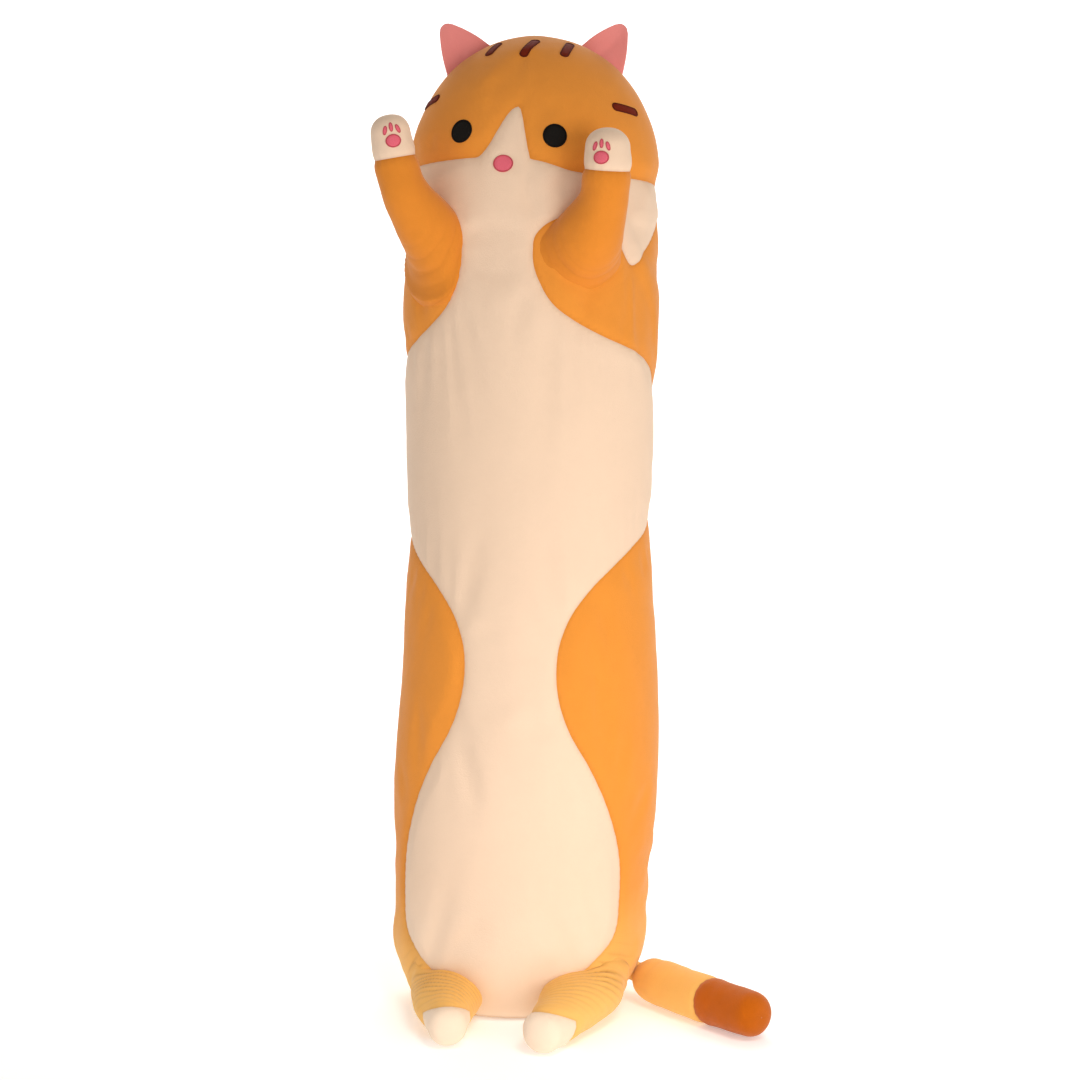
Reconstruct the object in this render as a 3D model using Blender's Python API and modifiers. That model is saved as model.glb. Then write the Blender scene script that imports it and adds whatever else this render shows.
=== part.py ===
"""Long plush cat, standing upright: a stuffed body pillow with raised arms, short legs and a tail.

The skin is a set of sewn fabric panels around separate fillings.  Metres, +Z up, front facing -Y,
underside on z = 0.  The cat's own left is +X.
"""
import math

import bmesh
import bpy
import numpy as np
from mathutils import Matrix, Vector
from mathutils.bvhtree import BVHTree

# ---------------------------------------------------------------- overall sizes
BODY_TOP = 1.077
DOME_HEIGHT = 0.148
DOME_POWER = 2.3
BASE_ROUNDING = 0.085
BASE_FLAT = 0.62
DEPTH_RATIO = 0.84
# height, half width, sideways centre: the body leans and swells a little along its length
BODY_STATIONS = (
    (0.000, 0.1405, -0.0130), (0.140, 0.1440, -0.0073), (0.270, 0.1472, -0.0018),
    (0.410, 0.1415, 0.0018), (0.520, 0.1352, 0.0020), (0.650, 0.1370, 0.0020),
    (0.780, 0.1418, 0.0036), (0.900, 0.1378, 0.0066), (0.980, 0.1341, 0.0075), (1.036, 0.1284, 0.0080),
    (1.077, 0.1230, 0.0085),
)
# height, turn of the pattern about the body's own axis, degrees
TWIST_STATIONS = ((0.0, -5.0), (0.20, -8.5), (0.50, -9.0), (0.66, -11.5), (0.78, -15.2), (1.077, -15.5))

# ---------------------------------------------------------------- fabric and gaps
SKIN = 0.0025
SEAM_GAP = 0.0010
SKIN_TO_FILLING = 0.0009
TRIM_GAP = 0.0015
TRIM_THICKNESS = 0.0014
LIMB_SKIN = 0.0020
LIMB_CLEARANCE = 0.0009
LIMB_FILLING_GAP = 0.0009
FLOOR_CLEARANCE = 0.0010

# ---------------------------------------------------------------- seam layout, in pattern angle
BASE_SEAM_Z = 0.013
BELLY_SEAM = (
    (0.020, 12.0), (0.055, 35.0), (0.090, 54.0), (0.130, 57.5), (0.180, 56.0), (0.225, 49.0),
    (0.280, 37.0), (0.320, 27.0), (0.350, 22.5), (0.385, 20.8), (0.420, 23.0), (0.456, 31.5),
    (0.490, 48.0), (0.515, 67.0), (0.545, 98.0), (0.610, 112.0), (0.681, 104.0), (0.720, 80.0),
    (0.738, 53.0), (0.765, 30.0), (0.800, 19.0), (0.840, 16.4), (0.860, 19.0),
)
SHOULDER_SEAM = (
    (0.0, 0.868), (24.0, 0.870), (36.0, 0.872), (54.0, 0.850), (66.0, 0.8205), (78.0, 0.837),
    (93.0, 0.861), (106.0, 0.885), (119.0, 0.925), (180.0, 0.960),
)
CROWN_SEAM_Z = 0.9135
CROWN_SEAM_RISE = 0.018
CROWN_RISE_ANGLE = 24.0
CROWN_RISE_SPREAD = 12.0
BLAZE_ANGLE = 8.0
BLAZE_HEIGHT = 0.0555
BLAZE_GENTLE = 19.0
BLAZE_STEEP = 7.5

# ---------------------------------------------------------------- waist
WAIST_Z = 0.575
WAIST_RADIUS = 0.128
WAIST_CLEARANCE = 0.0010
WAIST_SHOULDER = 0.048

PIVOT_STEPS = 101

FRONT_COLUMN_STEP = 6.0
SIDE_COLUMN_STEP = 15.0
FRONT_ANGLE = 30.0
ROW_STEP = 0.0305

COLOURS = {
    "plush_orange": (0.80, 0.32, 0.075),
    "plush_cream": (0.86, 0.66, 0.47),
    "plush_rust": (0.50, 0.10, 0.012),
    "felt_pink": (0.72, 0.19, 0.17),
    "thread_black": (0.010, 0.007, 0.006),
    "thread_pink": (0.72, 0.13, 0.14),
    "thread_brown": (0.13, 0.022, 0.008),
    "stuffing": (0.86, 0.85, 0.82),
}


# ---------------------------------------------------------------- scene set-up
for old in list(bpy.data.objects):
    bpy.data.objects.remove(old, do_unlink=True)
PARTS = bpy.data.collections.new("plush_cat")
bpy.context.scene.collection.children.link(PARTS)
CUTTERS = bpy.data.collections.new("cutters")
bpy.context.scene.collection.children.link(CUTTERS)


def material(name, part):
    """One Principled material per part, coloured by the cloth it is cut from."""
    mat = bpy.data.materials.new(part + "_mat")
    mat.use_nodes = True
    shader = mat.node_tree.nodes["Principled BSDF"]
    shader.inputs["Base Color"].default_value = (*COLOURS[name], 1.0)
    shader.inputs["Roughness"].default_value = 0.9
    mat.diffuse_color = (*COLOURS[name], 1.0)
    return mat


def add(name, bm, cloth, pivot=(0.0, 0.0, 0.0)):
    """Turn a bmesh in world coordinates into a part whose origin is its joint."""
    mesh = bpy.data.meshes.new(name)
    bmesh.ops.translate(bm, verts=bm.verts, vec=-Vector(pivot))
    bm.normal_update()
    bm.to_mesh(mesh)
    bm.free()
    obj = bpy.data.objects.new(name, mesh)
    obj.location = pivot
    if cloth is None:
        CUTTERS.objects.link(obj)
        obj.hide_render = True
        obj.display_type = "WIRE"
    else:
        PARTS.objects.link(obj)
        mesh.materials.append(material(cloth, name))
    return obj


def solidify(obj, thickness, offset=-1.0):
    mod = obj.modifiers.new("thickness", "SOLIDIFY")
    mod.thickness = thickness
    mod.offset = offset
    mod.use_even_offset = True


def face_towards(bm, outward):
    """Turn a sheet so that its faces look along outward."""
    bm.normal_update()
    bm.faces.ensure_lookup_table()
    if bm.faces[0].normal.dot(outward) < 0.0:
        bmesh.ops.reverse_faces(bm, faces=bm.faces)


def boolean(obj, cutter, operation="DIFFERENCE"):
    mod = obj.modifiers.new("trim_" + cutter.name, "BOOLEAN")
    mod.operation = operation
    mod.object = cutter
    mod.solver = "EXACT"


# ---------------------------------------------------------------- body surface
def smooth(x, stations, column):
    """Smooth curve through stations of (position, value, ...)."""
    table = np.array(stations)
    xs = table[:, 0]
    ys = table[:, column]
    x = min(max(x, xs[0]), xs[-1])
    i = min(max(int(np.searchsorted(xs, x)) - 1, 0), len(xs) - 2)
    slope = np.gradient(ys, xs)
    width = xs[i + 1] - xs[i]
    s = (x - xs[i]) / width
    low = (2 * s**3 - 3 * s**2 + 1) * ys[i] + (s**3 - 2 * s**2 + s) * width * slope[i]
    high = (3 * s**2 - 2 * s**3) * ys[i + 1] + (s**3 - s**2) * width * slope[i + 1]
    return float(low + high)


def linear(x, stations):
    table = np.array(stations)
    return float(np.interp(x, table[:, 0], table[:, 1]))


def body_radius(z):
    """Half width of the body at height z, with the dome on top and the rounded foot."""
    top = min(max((z - BODY_TOP + DOME_HEIGHT) / DOME_HEIGHT, 0.0), 1.0)
    foot = min(max(1.0 - z / BASE_ROUNDING, 0.0), 1.0)
    rounding = math.sqrt(1.0 - foot * foot)
    dome = (1.0 - top**DOME_POWER) ** (1.0 / DOME_POWER)
    return smooth(z, BODY_STATIONS, 1) * dome * (BASE_FLAT + (1.0 - BASE_FLAT) * rounding)


def body_point(angle, z, scale=1.0):
    """Point on the skin at a pattern angle (degrees, 0 at the front) and a height."""
    turn = math.radians(angle + smooth(z, TWIST_STATIONS, 1))
    r = body_radius(z) * scale
    return Vector((smooth(z, BODY_STATIONS, 2) + r * math.sin(turn),
                   -DEPTH_RATIO * r * math.cos(turn), z))


def body_frame(angle, z):
    """Skin point with its outward normal, level tangent and upward tangent."""
    step = 0.5
    rise = 0.002
    across = body_point(angle + step, z) - body_point(angle - step, z)
    up = body_point(angle, z + rise) - body_point(angle, z - rise)
    normal = across.cross(up).normalized()
    across.normalize()
    return body_point(angle, z), normal, across, normal.cross(across)


# ---------------------------------------------------------------- seams as signed distances
def crown_seam(angle):
    side = 0.5 - 0.5 * math.tanh((angle - CROWN_RISE_ANGLE) / CROWN_RISE_SPREAD)
    back = min(max((-angle - 60.0) / 90.0, 0.0), 1.0)
    level = CROWN_SEAM_Z + CROWN_SEAM_RISE * side * (1.0 - back * back * (3.0 - 2.0 * back))
    away = angle - BLAZE_ANGLE
    width = BLAZE_GENTLE if away < 0.0 else BLAZE_STEEP
    bump = 0.5 + 0.5 * math.cos(math.pi * min(abs(away) / width, 1.0))
    return level + BLAZE_HEIGHT * bump


def above_crown(angle, z):
    step = 0.6
    run = 2.0 * math.radians(step) * body_radius(CROWN_SEAM_Z)
    slope = (crown_seam(angle + step) - crown_seam(angle - step)) / run
    return (z - crown_seam(angle)) / math.sqrt(1.0 + slope * slope)


def in_cream(angle, z):
    """Positive on the cream face and belly, negative on the orange sides."""
    rise = 0.004
    radius = max(body_radius(min(max(z, 0.0), BODY_TOP)), SKIN)
    reach = linear(z, BELLY_SEAM)
    slope = math.radians(linear(z + rise, BELLY_SEAM) - linear(z - rise, BELLY_SEAM))
    slope *= radius / (2.0 * rise)
    belly = math.radians(reach - abs(angle)) * radius / math.sqrt(1.0 + slope * slope)
    step = 2.0
    run = 2.0 * math.radians(step) * radius
    grade = (linear(abs(angle) + step, SHOULDER_SEAM) - linear(abs(angle) - step, SHOULDER_SEAM)) / run
    face = (z - linear(abs(angle), SHOULDER_SEAM)) / math.sqrt(1.0 + grade * grade)
    return max(belly, face)


# ---------------------------------------------------------------- body grid and panels
def column_angles(closed):
    front = list(np.arange(-FRONT_ANGLE, FRONT_ANGLE + 0.1, FRONT_COLUMN_STEP))
    side = list(np.arange(FRONT_ANGLE + SIDE_COLUMN_STEP, 179.0, SIDE_COLUMN_STEP))
    angles = [-a for a in reversed(side)] + front + side
    if closed:
        return angles + [180.0]
    edge = 180.0 - math.degrees(0.5 * SEAM_GAP / BODY_STATIONS[1][1])
    return [-edge] + angles + [edge]


def row_heights():
    """Heights of the grid rows: close together on the foot and the dome, even between."""
    foot = [0.0, 0.003, BASE_SEAM_Z, 0.027, 0.046]
    straight_top = BODY_TOP - DOME_HEIGHT
    count = round((straight_top - 0.068) / ROW_STEP)
    straight = list(np.linspace(0.068, straight_top, count))
    turns = [math.radians(a) for a in (13, 26, 39, 52, 64, 76)]
    dome = [straight_top + DOME_HEIGHT * math.sin(a) for a in turns]
    return foot + straight + dome


def body_grid(closed):
    """Triangulated skin surface.  Returns the bmesh and each vertex's (angle, height)."""
    bm = bmesh.new()
    place = {}
    rows = []
    columns = column_angles(closed)
    for z in row_heights():
        row = []
        for angle in columns:
            vert = bm.verts.new(body_point(angle, z))
            place[vert] = (angle, z)
            row.append(vert)
        rows.append(row)
    spans = len(columns) if closed else len(columns) - 1
    for low, high in zip(rows, rows[1:]):
        for i in range(spans):
            j = (i + 1) % len(columns)
            bm.faces.new((low[i], low[j], high[j]))
            bm.faces.new((low[i], high[j], high[i]))
    top = bm.verts.new(body_point(0.0, BODY_TOP, 0.0))
    bottom = bm.verts.new(body_point(0.0, 0.0, 0.0))
    place[top] = (0.0, BODY_TOP)
    place[bottom] = (0.0, -0.1)
    for i in range(spans):
        j = (i + 1) % len(columns)
        bm.faces.new((rows[-1][i], rows[-1][j], top))
        bm.faces.new((rows[0][j], rows[0][i], bottom))
    bm.normal_update()
    return bm, place


def crosses(values):
    return min(values) < 0.0 < max(values)


def keep(bm, place, level, margin):
    """Cut the surface along level == margin and keep the side where level is greater."""
    value = {v: level(*place[v]) - margin for v in bm.verts}
    for edge in list(bm.edges):
        a, b = edge.verts
        if value[a] * value[b] >= 0.0:
            continue
        part = value[a] / (value[a] - value[b])
        _, new = bmesh.utils.edge_split(edge, a, part)
        place[new] = tuple((1.0 - part) * p + part * q for p, q in zip(place[a], place[b]))
        value[new] = 0.0
    for face in list(bm.faces):
        on_seam = [v for v in face.verts if value[v] == 0.0]
        if len(on_seam) == 2 and len(face.verts) > 3:
            a, b = on_seam
            if not any(b in e.verts for e in a.link_edges):
                bmesh.utils.face_split(face, a, b)
        elif len(on_seam) == 2 and crosses([value[v] for v in face.verts]):
            bmesh.utils.face_split(face, *on_seam)
    outside = [f for f in bm.faces if sum(value[v] for v in f.verts) < 0.0]
    bmesh.ops.delete(bm, geom=outside, context="FACES")


def body_panel(name, cloth, levels, closed=False):
    """One fabric panel of the body: the skin surface inside every seam, given thickness."""
    bm, place = body_grid(closed)
    for level in levels:
        keep(bm, place, level, 0.5 * SEAM_GAP)
    bmesh.ops.dissolve_degenerate(bm, dist=1e-5, edges=bm.edges)
    panel = add(name, bm, cloth)
    solidify(panel, SKIN)
    return panel


def body_solid(name, offset, cloth=None, closed=True):
    """Closed body form, moved in or out of the skin surface."""
    bm, _ = body_grid(closed)
    moves = [(v, v.normal * offset * v.calc_shell_factor()) for v in bm.verts]
    for vert, move in moves:
        vert.co += move
    return add(name, bm, cloth)


def above_base(angle, z):
    return z - BASE_SEAM_Z


skin_form, _ = body_grid(True)
SKIN_TREE = BVHTree.FromBMesh(skin_form)
skin_form.free()

body_panel("belly_panel", "plush_cream",
           (above_base, in_cream, lambda a, z: -above_crown(a, z)))
body_panel("side_left_panel", "plush_orange",
           (above_base, lambda a, z: -in_cream(a, z), lambda a, z: -above_crown(a, z), lambda a, z: a))
body_panel("side_right_panel", "plush_orange",
           (above_base, lambda a, z: -in_cream(a, z), lambda a, z: -above_crown(a, z), lambda a, z: -a))
body_panel("crown_panel", "plush_orange", (above_crown,), closed=True)
body_panel("base_panel", "plush_orange", (lambda a, z: -above_base(a, z),), closed=True)

# ---------------------------------------------------------------- fillings that meet at the waist
def waist_form(name, radius):
    """Everything above the waist: a round-bottomed block across the body."""
    reach = 0.25
    shoulder = WAIST_Z - WAIST_SHOULDER
    half = math.sqrt(radius**2 - WAIST_SHOULDER**2)
    start = math.atan2(-WAIST_SHOULDER, half)
    profile = [(-reach, BODY_TOP + reach), (-reach, shoulder)]
    steps = 14
    for i in range(steps + 1):
        turn = math.pi - start + (math.pi + 2.0 * start) * i / steps
        profile.append((radius * math.cos(turn), WAIST_Z + radius * math.sin(turn)))
    profile += [(reach, shoulder), (reach, BODY_TOP + reach)]
    bm = bmesh.new()
    face = bm.faces.new([bm.verts.new((-reach, y, z)) for y, z in profile])
    sweep = bmesh.ops.extrude_face_region(bm, geom=[face])["geom"]
    moved = [g for g in sweep if isinstance(g, bmesh.types.BMVert)]
    bmesh.ops.translate(bm, verts=moved, vec=(2.0 * reach, 0.0, 0.0))
    bmesh.ops.recalc_face_normals(bm, faces=bm.faces)
    return add(name, bm, None)


socket = waist_form("waist_socket", WAIST_RADIUS)
ball = waist_form("waist_ball", WAIST_RADIUS - WAIST_CLEARANCE)
inner = -(SKIN + SKIN_TO_FILLING)
lower = body_solid("filling_lower", inner, "stuffing")
boolean(lower, socket)
upper = body_solid("filling_upper", inner, "stuffing")
boolean(upper, ball, "INTERSECT")
body_cutter = body_solid("body_cutter", LIMB_CLEARANCE)


# ---------------------------------------------------------------- limbs
def path_rings(points, radii, count):
    """Evenly spaced centres, directions and radii along a smooth path."""
    stations = [(float(i), *p, r) for i, (p, r) in enumerate(zip(points, radii))]
    rings = []
    for i in range(count):
        t = (len(points) - 1) * i / (count - 1)
        centre = Vector(tuple(smooth(t, stations, c) for c in (1, 2, 3)))
        rings.append([centre, smooth(t, stations, 4)])
    for i, ring in enumerate(rings):
        before = rings[max(i - 1, 0)][0]
        after = rings[min(i + 1, count - 1)][0]
        ring.append((after - before).normalized())
    return rings


def loft(rings, sides, close_start=False, close_end=False, shrink=0.0):
    """Tube through the rings, pressed flatter where it lies on the floor; a closed end is a half ball."""
    turns = (30.0, 55.0, 75.0)
    if close_end:
        c, r, d = rings[-1]
        reach = r - shrink
        for turn in (math.radians(a) for a in turns):
            rings = rings + [(c + d * reach * math.sin(turn), reach * math.cos(turn) + shrink, d)]
        end_pole = c + d * reach
    if close_start:
        c, r, d = rings[0]
        reach = r - shrink
        start = [(c - d * reach * math.sin(math.radians(a)), reach * math.cos(math.radians(a)) + shrink, d)
                 for a in turns]
        rings = start[::-1] + rings
        start_pole = c - d * reach
    bm = bmesh.new()
    side = rings[0][2].orthogonal().normalized()
    loops = []
    for centre, radius, direction in rings:
        side = (side - direction * side.dot(direction)).normalized()
        other = direction.cross(side)
        wide = radius - shrink
        high = min(radius, centre.z - FLOOR_CLEARANCE) - shrink
        loop = []
        for t in np.linspace(0.0, 2.0 * math.pi, sides, endpoint=False):
            offset = (side * math.cos(t) + other * math.sin(t)) * wide
            offset.z *= high / wide
            loop.append(bm.verts.new(centre + offset))
        loops.append(loop)
    for low, high in zip(loops, loops[1:]):
        for i in range(sides):
            j = (i + 1) % sides
            bm.faces.new((low[i], low[j], high[j], high[i]))
    if close_end:
        pole = bm.verts.new(end_pole)
        for i in range(sides):
            bm.faces.new((loops[-1][i], loops[-1][(i + 1) % sides], pole))
    if close_start:
        pole = bm.verts.new(start_pole)
        for i in range(sides):
            bm.faces.new((loops[0][(i + 1) % sides], loops[0][i], pole))
    bm.normal_update()
    return bm


def limb(name, end_name, points, radii, hem, root, pivot_radius, cloth, end_cloth, sides=12):
    """Stuffed limb: sleeve sewn to the body, end piece past the hem, filling inside.

    hem is the share of the path where the sleeve ends, root the share where the limb bends.
    The filling starts as a ball centred on that bend.  Returns the rings and the pivot.
    """
    count = 13
    rings = path_rings(points, radii, count)
    pivot = path_rings(points, radii, PIVOT_STEPS)[round(root * (PIVOT_STEPS - 1))][0]
    cut = round(hem * (count - 1))
    centre, radius, direction = rings[cut]
    sleeve_end = (centre - direction * 0.5 * SEAM_GAP, radius, direction)
    end_start = (centre + direction * 0.5 * SEAM_GAP, radius, direction)
    sleeve = add(name + "_sleeve", loft(rings[:cut] + [sleeve_end], sides), cloth, pivot)
    solidify(sleeve, LIMB_SKIN)
    boolean(sleeve, body_cutter)
    end = add(end_name, loft([end_start] + rings[cut + 1:], sides, close_end=True), end_cloth, pivot)
    solidify(end, LIMB_SKIN)
    inside = LIMB_SKIN + LIMB_FILLING_GAP
    axis = Vector(pivot)
    core = [r for r in rings if (r[0] - axis).dot(r[2]) > 1.1 * pivot_radius]
    lead = (core[0][0] - axis).normalized()
    core = [(axis, pivot_radius + inside, lead)] + core
    add(name + "_filling", loft(core, sides, True, True, inside), "stuffing", pivot)
    return rings, pivot


def trim(name, cloth, tree, centre, normal, across, size, pivot=(0, 0, 0), angle=0.0, bar=False):
    """Stitched or applique patch laid on a surface: an oval, or a round-ended bar."""
    half_long, half_wide = size
    up = normal.cross(across).normalized()
    turn = math.radians(angle)
    u_dir = across * math.cos(turn) + up * math.sin(turn)
    v_dir = up * math.cos(turn) - across * math.sin(turn)
    bm = bmesh.new()
    loops = []
    count = 12
    for ring in (0.5, 1.0):
        loop = []
        for t in np.linspace(0.0, 2.0 * math.pi, count, endpoint=False):
            u = math.cos(t) * half_long
            v = math.sin(t) * half_wide
            if bar:
                u = math.copysign(half_long - half_wide, math.cos(t)) + half_wide * math.cos(t)
            start = centre + normal * 0.03 + u_dir * u * ring + v_dir * v * ring
            hit, face_normal, _, _ = tree.ray_cast(start, -normal)
            loop.append(bm.verts.new(hit + normal * TRIM_GAP))
        loops.append(loop)
    bm.faces.new(loops[0])
    for i in range(count):
        j = (i + 1) % count
        bm.faces.new((loops[0][i], loops[1][i], loops[1][j], loops[0][j]))
    face_towards(bm, normal)
    patch = add(name, bm, cloth, pivot)
    solidify(patch, TRIM_THICKNESS, 1.0)
    return patch


def paw_pads(side, rings, facing, pivot, sides=12):
    """Palm pad and three toe beans on the front of a paw."""
    surface = loft(rings, sides, False, True)
    tree = BVHTree.FromBMesh(surface)
    surface.free()
    centre, radius, direction = rings[-1]
    facing = (facing - direction * facing.dot(direction)).normalized()
    across = direction.cross(facing).normalized()
    palm = centre - direction * 0.4 * radius
    trim("arm_" + side + "_palm_pad", "thread_pink", tree, palm, facing, across, PALM_HALF, pivot)
    for name, u, v, lean in BEANS:
        spot = palm + across * u + direction * v
        trim("arm_" + side + "_bean_" + name, "thread_pink", tree, spot, facing, across,
             BEAN_HALF, pivot, lean)


PALM_HALF = (0.0075, 0.0062)
BEAN_HALF = (0.0042, 0.0021)
# name, across the palm, towards the tip, lean in degrees
BEANS = (("outer", -0.0068, 0.0116, 72.0), ("middle", 0.0, 0.0142, 90.0), ("inner", 0.0068, 0.0116, 108.0))
ARM_LEFT_RADII = (0.0400, 0.0385, 0.0265, 0.0248, 0.0238)
ARM_LEFT = ((0.0500, -0.0600, 0.8280), (0.0620, -0.1100, 0.8430), (0.0790, -0.1400, 0.8790),
            (0.0830, -0.1500, 0.9080), (0.0835, -0.1530, 0.9325))
ARM_RIGHT_RADII = (0.0380, 0.0345, 0.0270, 0.0236, 0.0218)
ARM_RIGHT = ((-0.0760, -0.0500, 0.8200), (-0.1015, -0.0860, 0.8550), (-0.1245, -0.1130, 0.8890),
             (-0.1352, -0.1205, 0.9155), (-0.1425, -0.1260, 0.9520))
ARM_LEFT_HEM = 0.75
ARM_RIGHT_HEM = 0.83
ARM_ROOT = 0.40
ARM_PIVOT_RADIUS = 0.0170
rings, pivot = limb("arm_left", "arm_left_paw", ARM_LEFT, ARM_LEFT_RADII, ARM_LEFT_HEM, ARM_ROOT,
                    ARM_PIVOT_RADIUS, "plush_orange", "plush_cream")
paw_pads("left", rings, Vector((-0.10, -1.0, 0.0)), pivot)
rings, pivot = limb("arm_right", "arm_right_paw", ARM_RIGHT, ARM_RIGHT_RADII, ARM_RIGHT_HEM, ARM_ROOT,
                    ARM_PIVOT_RADIUS, "plush_orange", "plush_cream")
paw_pads("right", rings, Vector((0.06, -1.0, 0.0)), pivot)

LEG_LEFT_RADII = (0.0400, 0.0400, 0.0370, 0.0285, 0.0242)
LEG_LEFT = ((0.0760, -0.0440, 0.0320), (0.0640, -0.0820, 0.0305), (0.0490, -0.1220, 0.0290),
            (0.0330, -0.1660, 0.0270), (0.0185, -0.2030, 0.0255))
LEG_RIGHT_RADII = (0.0400, 0.0395, 0.0360, 0.0275, 0.0240)
LEG_RIGHT = ((-0.0850, -0.0400, 0.0320), (-0.0870, -0.0800, 0.0300), (-0.0878, -0.1200, 0.0285),
             (-0.0855, -0.1520, 0.0265), (-0.0830, -0.1780, 0.0255))
LEG_HEM = 0.92
LEG_PIVOT_RADIUS = 0.0170
LEG_LEFT_ROOT = 0.45
LEG_RIGHT_ROOT = 0.46
limb("leg_left", "leg_left_toe", LEG_LEFT, LEG_LEFT_RADII, LEG_HEM, LEG_LEFT_ROOT, LEG_PIVOT_RADIUS,
     "plush_orange", "plush_cream")
limb("leg_right", "leg_right_toe", LEG_RIGHT, LEG_RIGHT_RADII, LEG_HEM, LEG_RIGHT_ROOT, LEG_PIVOT_RADIUS,
     "plush_orange", "plush_cream")

TAIL = ((0.0950, 0.0620, 0.0300), (0.1200, 0.0300, 0.0260), (0.1370, -0.0060, 0.0255),
        (0.1490, -0.0320, 0.0262), (0.1880, -0.0870, 0.0262), (0.2330, -0.1480, 0.0262))
TAIL_RADII = (0.0115, 0.0125, 0.0132, 0.0250, 0.0252, 0.0240)
TAIL_HEM = 0.80
TAIL_PIVOT_RADIUS = 0.0085
TAIL_ROOT = 0.29
limb("tail", "tail_tip", TAIL, TAIL_RADII, TAIL_HEM, TAIL_ROOT, TAIL_PIVOT_RADIUS,
     "plush_orange", "plush_rust")

# ---------------------------------------------------------------- ears
EAR_LAYER = 0.0030
EAR_GAP = 0.0006
EAR_ROOT = 0.018
EAR_BOW = 0.0040
EAR_AXIS_HEIGHT = 0.0050
EAR_CLEARANCE = 0.0028
EAR_BOW_START = 0.014


def ear(side, base_a, base_b, tip):
    """Two sewn layers, pink in front and orange behind, bowed forward at the edges."""
    base_a, base_b, tip = Vector(base_a), Vector(base_b), Vector(tip)
    middle = 0.5 * (base_a + base_b)
    across = (base_b - base_a).normalized()
    half = 0.5 * (base_b - base_a).length
    up = tip - middle
    lean = up.dot(across)
    up = (up - across * lean).normalized()
    height = (tip - middle).dot(up)
    front = up.cross(across)
    if front.y > 0.0:
        front = -front
    pivot = middle + up * EAR_AXIS_HEIGHT
    rows = 7
    columns = 6
    for layer, cloth, side_sign in (("front", "felt_pink", 1.0), ("back", "plush_orange", -1.0)):
        start = side_sign * 0.5 * EAR_GAP
        bm = bmesh.new()
        grid = []
        for i in range(rows):
            t = i / (rows - 1)
            level = -EAR_ROOT + t * (height + EAR_ROOT)
            share = max(level / height, 0.0)
            width = half * (1.0 - share) ** 0.72 if share < 1.0 else 0.0
            width = max(width, 0.0035)
            row = []
            for j in range(columns + 1):
                s = 2.0 * j / columns - 1.0
                bow = EAR_BOW * s * s * (width / half) * min(max(level / EAR_BOW_START, 0.0), 1.0)
                spot = middle + up * level + across * (lean * share + s * width)
                row.append(bm.verts.new(spot + front * (start + bow)))
            grid.append(row)
        for low, high in zip(grid, grid[1:]):
            for j in range(columns):
                bm.faces.new((low[j], low[j + 1], high[j + 1], high[j]))
        face_towards(bm, front if layer == "front" else -front)
        obj = add("ear_" + side + "_" + layer, bm, cloth, pivot)
        solidify(obj, EAR_LAYER, 1.0)
        boolean(obj, ear_cutter)
    return pivot, across


ear_cutter = body_solid("ear_cutter", EAR_CLEARANCE)
EAR_LEFT = ((0.0600, -0.0100, 1.0680), (0.1045, -0.0120, 1.0350), (0.1065, -0.0120, 1.0895))
EAR_RIGHT = ((-0.0890, -0.0110, 1.0345), (-0.0425, -0.0090, 1.0685), (-0.0935, -0.0110, 1.0900))
ear("left", *EAR_LEFT)
ear("right", *EAR_RIGHT)


# ---------------------------------------------------------------- face and crown stitching
def on_body(name, cloth, angle, z, size, turn=0.0, bar=False):
    point, normal, across, _ = body_frame(angle, z)
    trim(name, cloth, SKIN_TREE, point, normal, across, size, angle=turn, bar=bar)


EYE_HALF = 0.0122
on_body("eye_right", "thread_black", -19.0, 0.9602, (EYE_HALF, EYE_HALF))
on_body("eye_left", "thread_black", 25.3, 0.9524, (EYE_HALF, EYE_HALF))
on_body("nose", "thread_pink", 2.5, 0.9236, (0.0105, 0.0090))
STRIPE_HALF_WIDTH = 0.0044
on_body("stripe_crown_right", "thread_brown", -24.5, 1.0580, (0.0145, STRIPE_HALF_WIDTH), 92.0, True)
on_body("stripe_crown_middle", "thread_brown", 11.0, 1.0565, (0.0180, STRIPE_HALF_WIDTH), 68.0, True)
on_body("stripe_crown_left", "thread_brown", 43.5, 1.0555, (0.0180, STRIPE_HALF_WIDTH), 57.0, True)
on_body("stripe_temple_left", "thread_brown", 66.8, 0.9880, (0.0190, STRIPE_HALF_WIDTH), -5.0, True)
on_body("stripe_temple_right", "thread_brown", -55.0, 1.0020, (0.0180, STRIPE_HALF_WIDTH), 9.0, True)
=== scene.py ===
import math

import bmesh
import bpy
import numpy as np
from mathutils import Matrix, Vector, noise
from mathutils.bvhtree import BVHTree


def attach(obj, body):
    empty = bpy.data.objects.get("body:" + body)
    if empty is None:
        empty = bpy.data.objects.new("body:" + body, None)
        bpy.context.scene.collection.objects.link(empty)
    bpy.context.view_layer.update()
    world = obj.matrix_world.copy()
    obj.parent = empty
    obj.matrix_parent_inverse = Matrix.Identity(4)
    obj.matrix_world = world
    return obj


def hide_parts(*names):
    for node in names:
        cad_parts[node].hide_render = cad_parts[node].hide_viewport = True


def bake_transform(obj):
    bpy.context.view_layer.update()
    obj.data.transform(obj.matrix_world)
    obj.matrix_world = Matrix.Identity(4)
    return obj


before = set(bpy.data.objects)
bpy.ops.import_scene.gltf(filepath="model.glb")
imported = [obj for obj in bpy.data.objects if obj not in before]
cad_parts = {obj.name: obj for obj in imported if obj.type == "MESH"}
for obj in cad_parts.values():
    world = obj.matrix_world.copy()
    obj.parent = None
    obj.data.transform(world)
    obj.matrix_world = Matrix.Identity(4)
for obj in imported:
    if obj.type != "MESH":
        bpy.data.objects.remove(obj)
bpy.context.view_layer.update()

# ---------------------------------------------------------------- body form, as in the part
# Rows of the stations: height, radius, sideways shift; then height and twist in degrees.
BODY_TOP = 1.077
DOME_HEIGHT = 0.148
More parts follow.
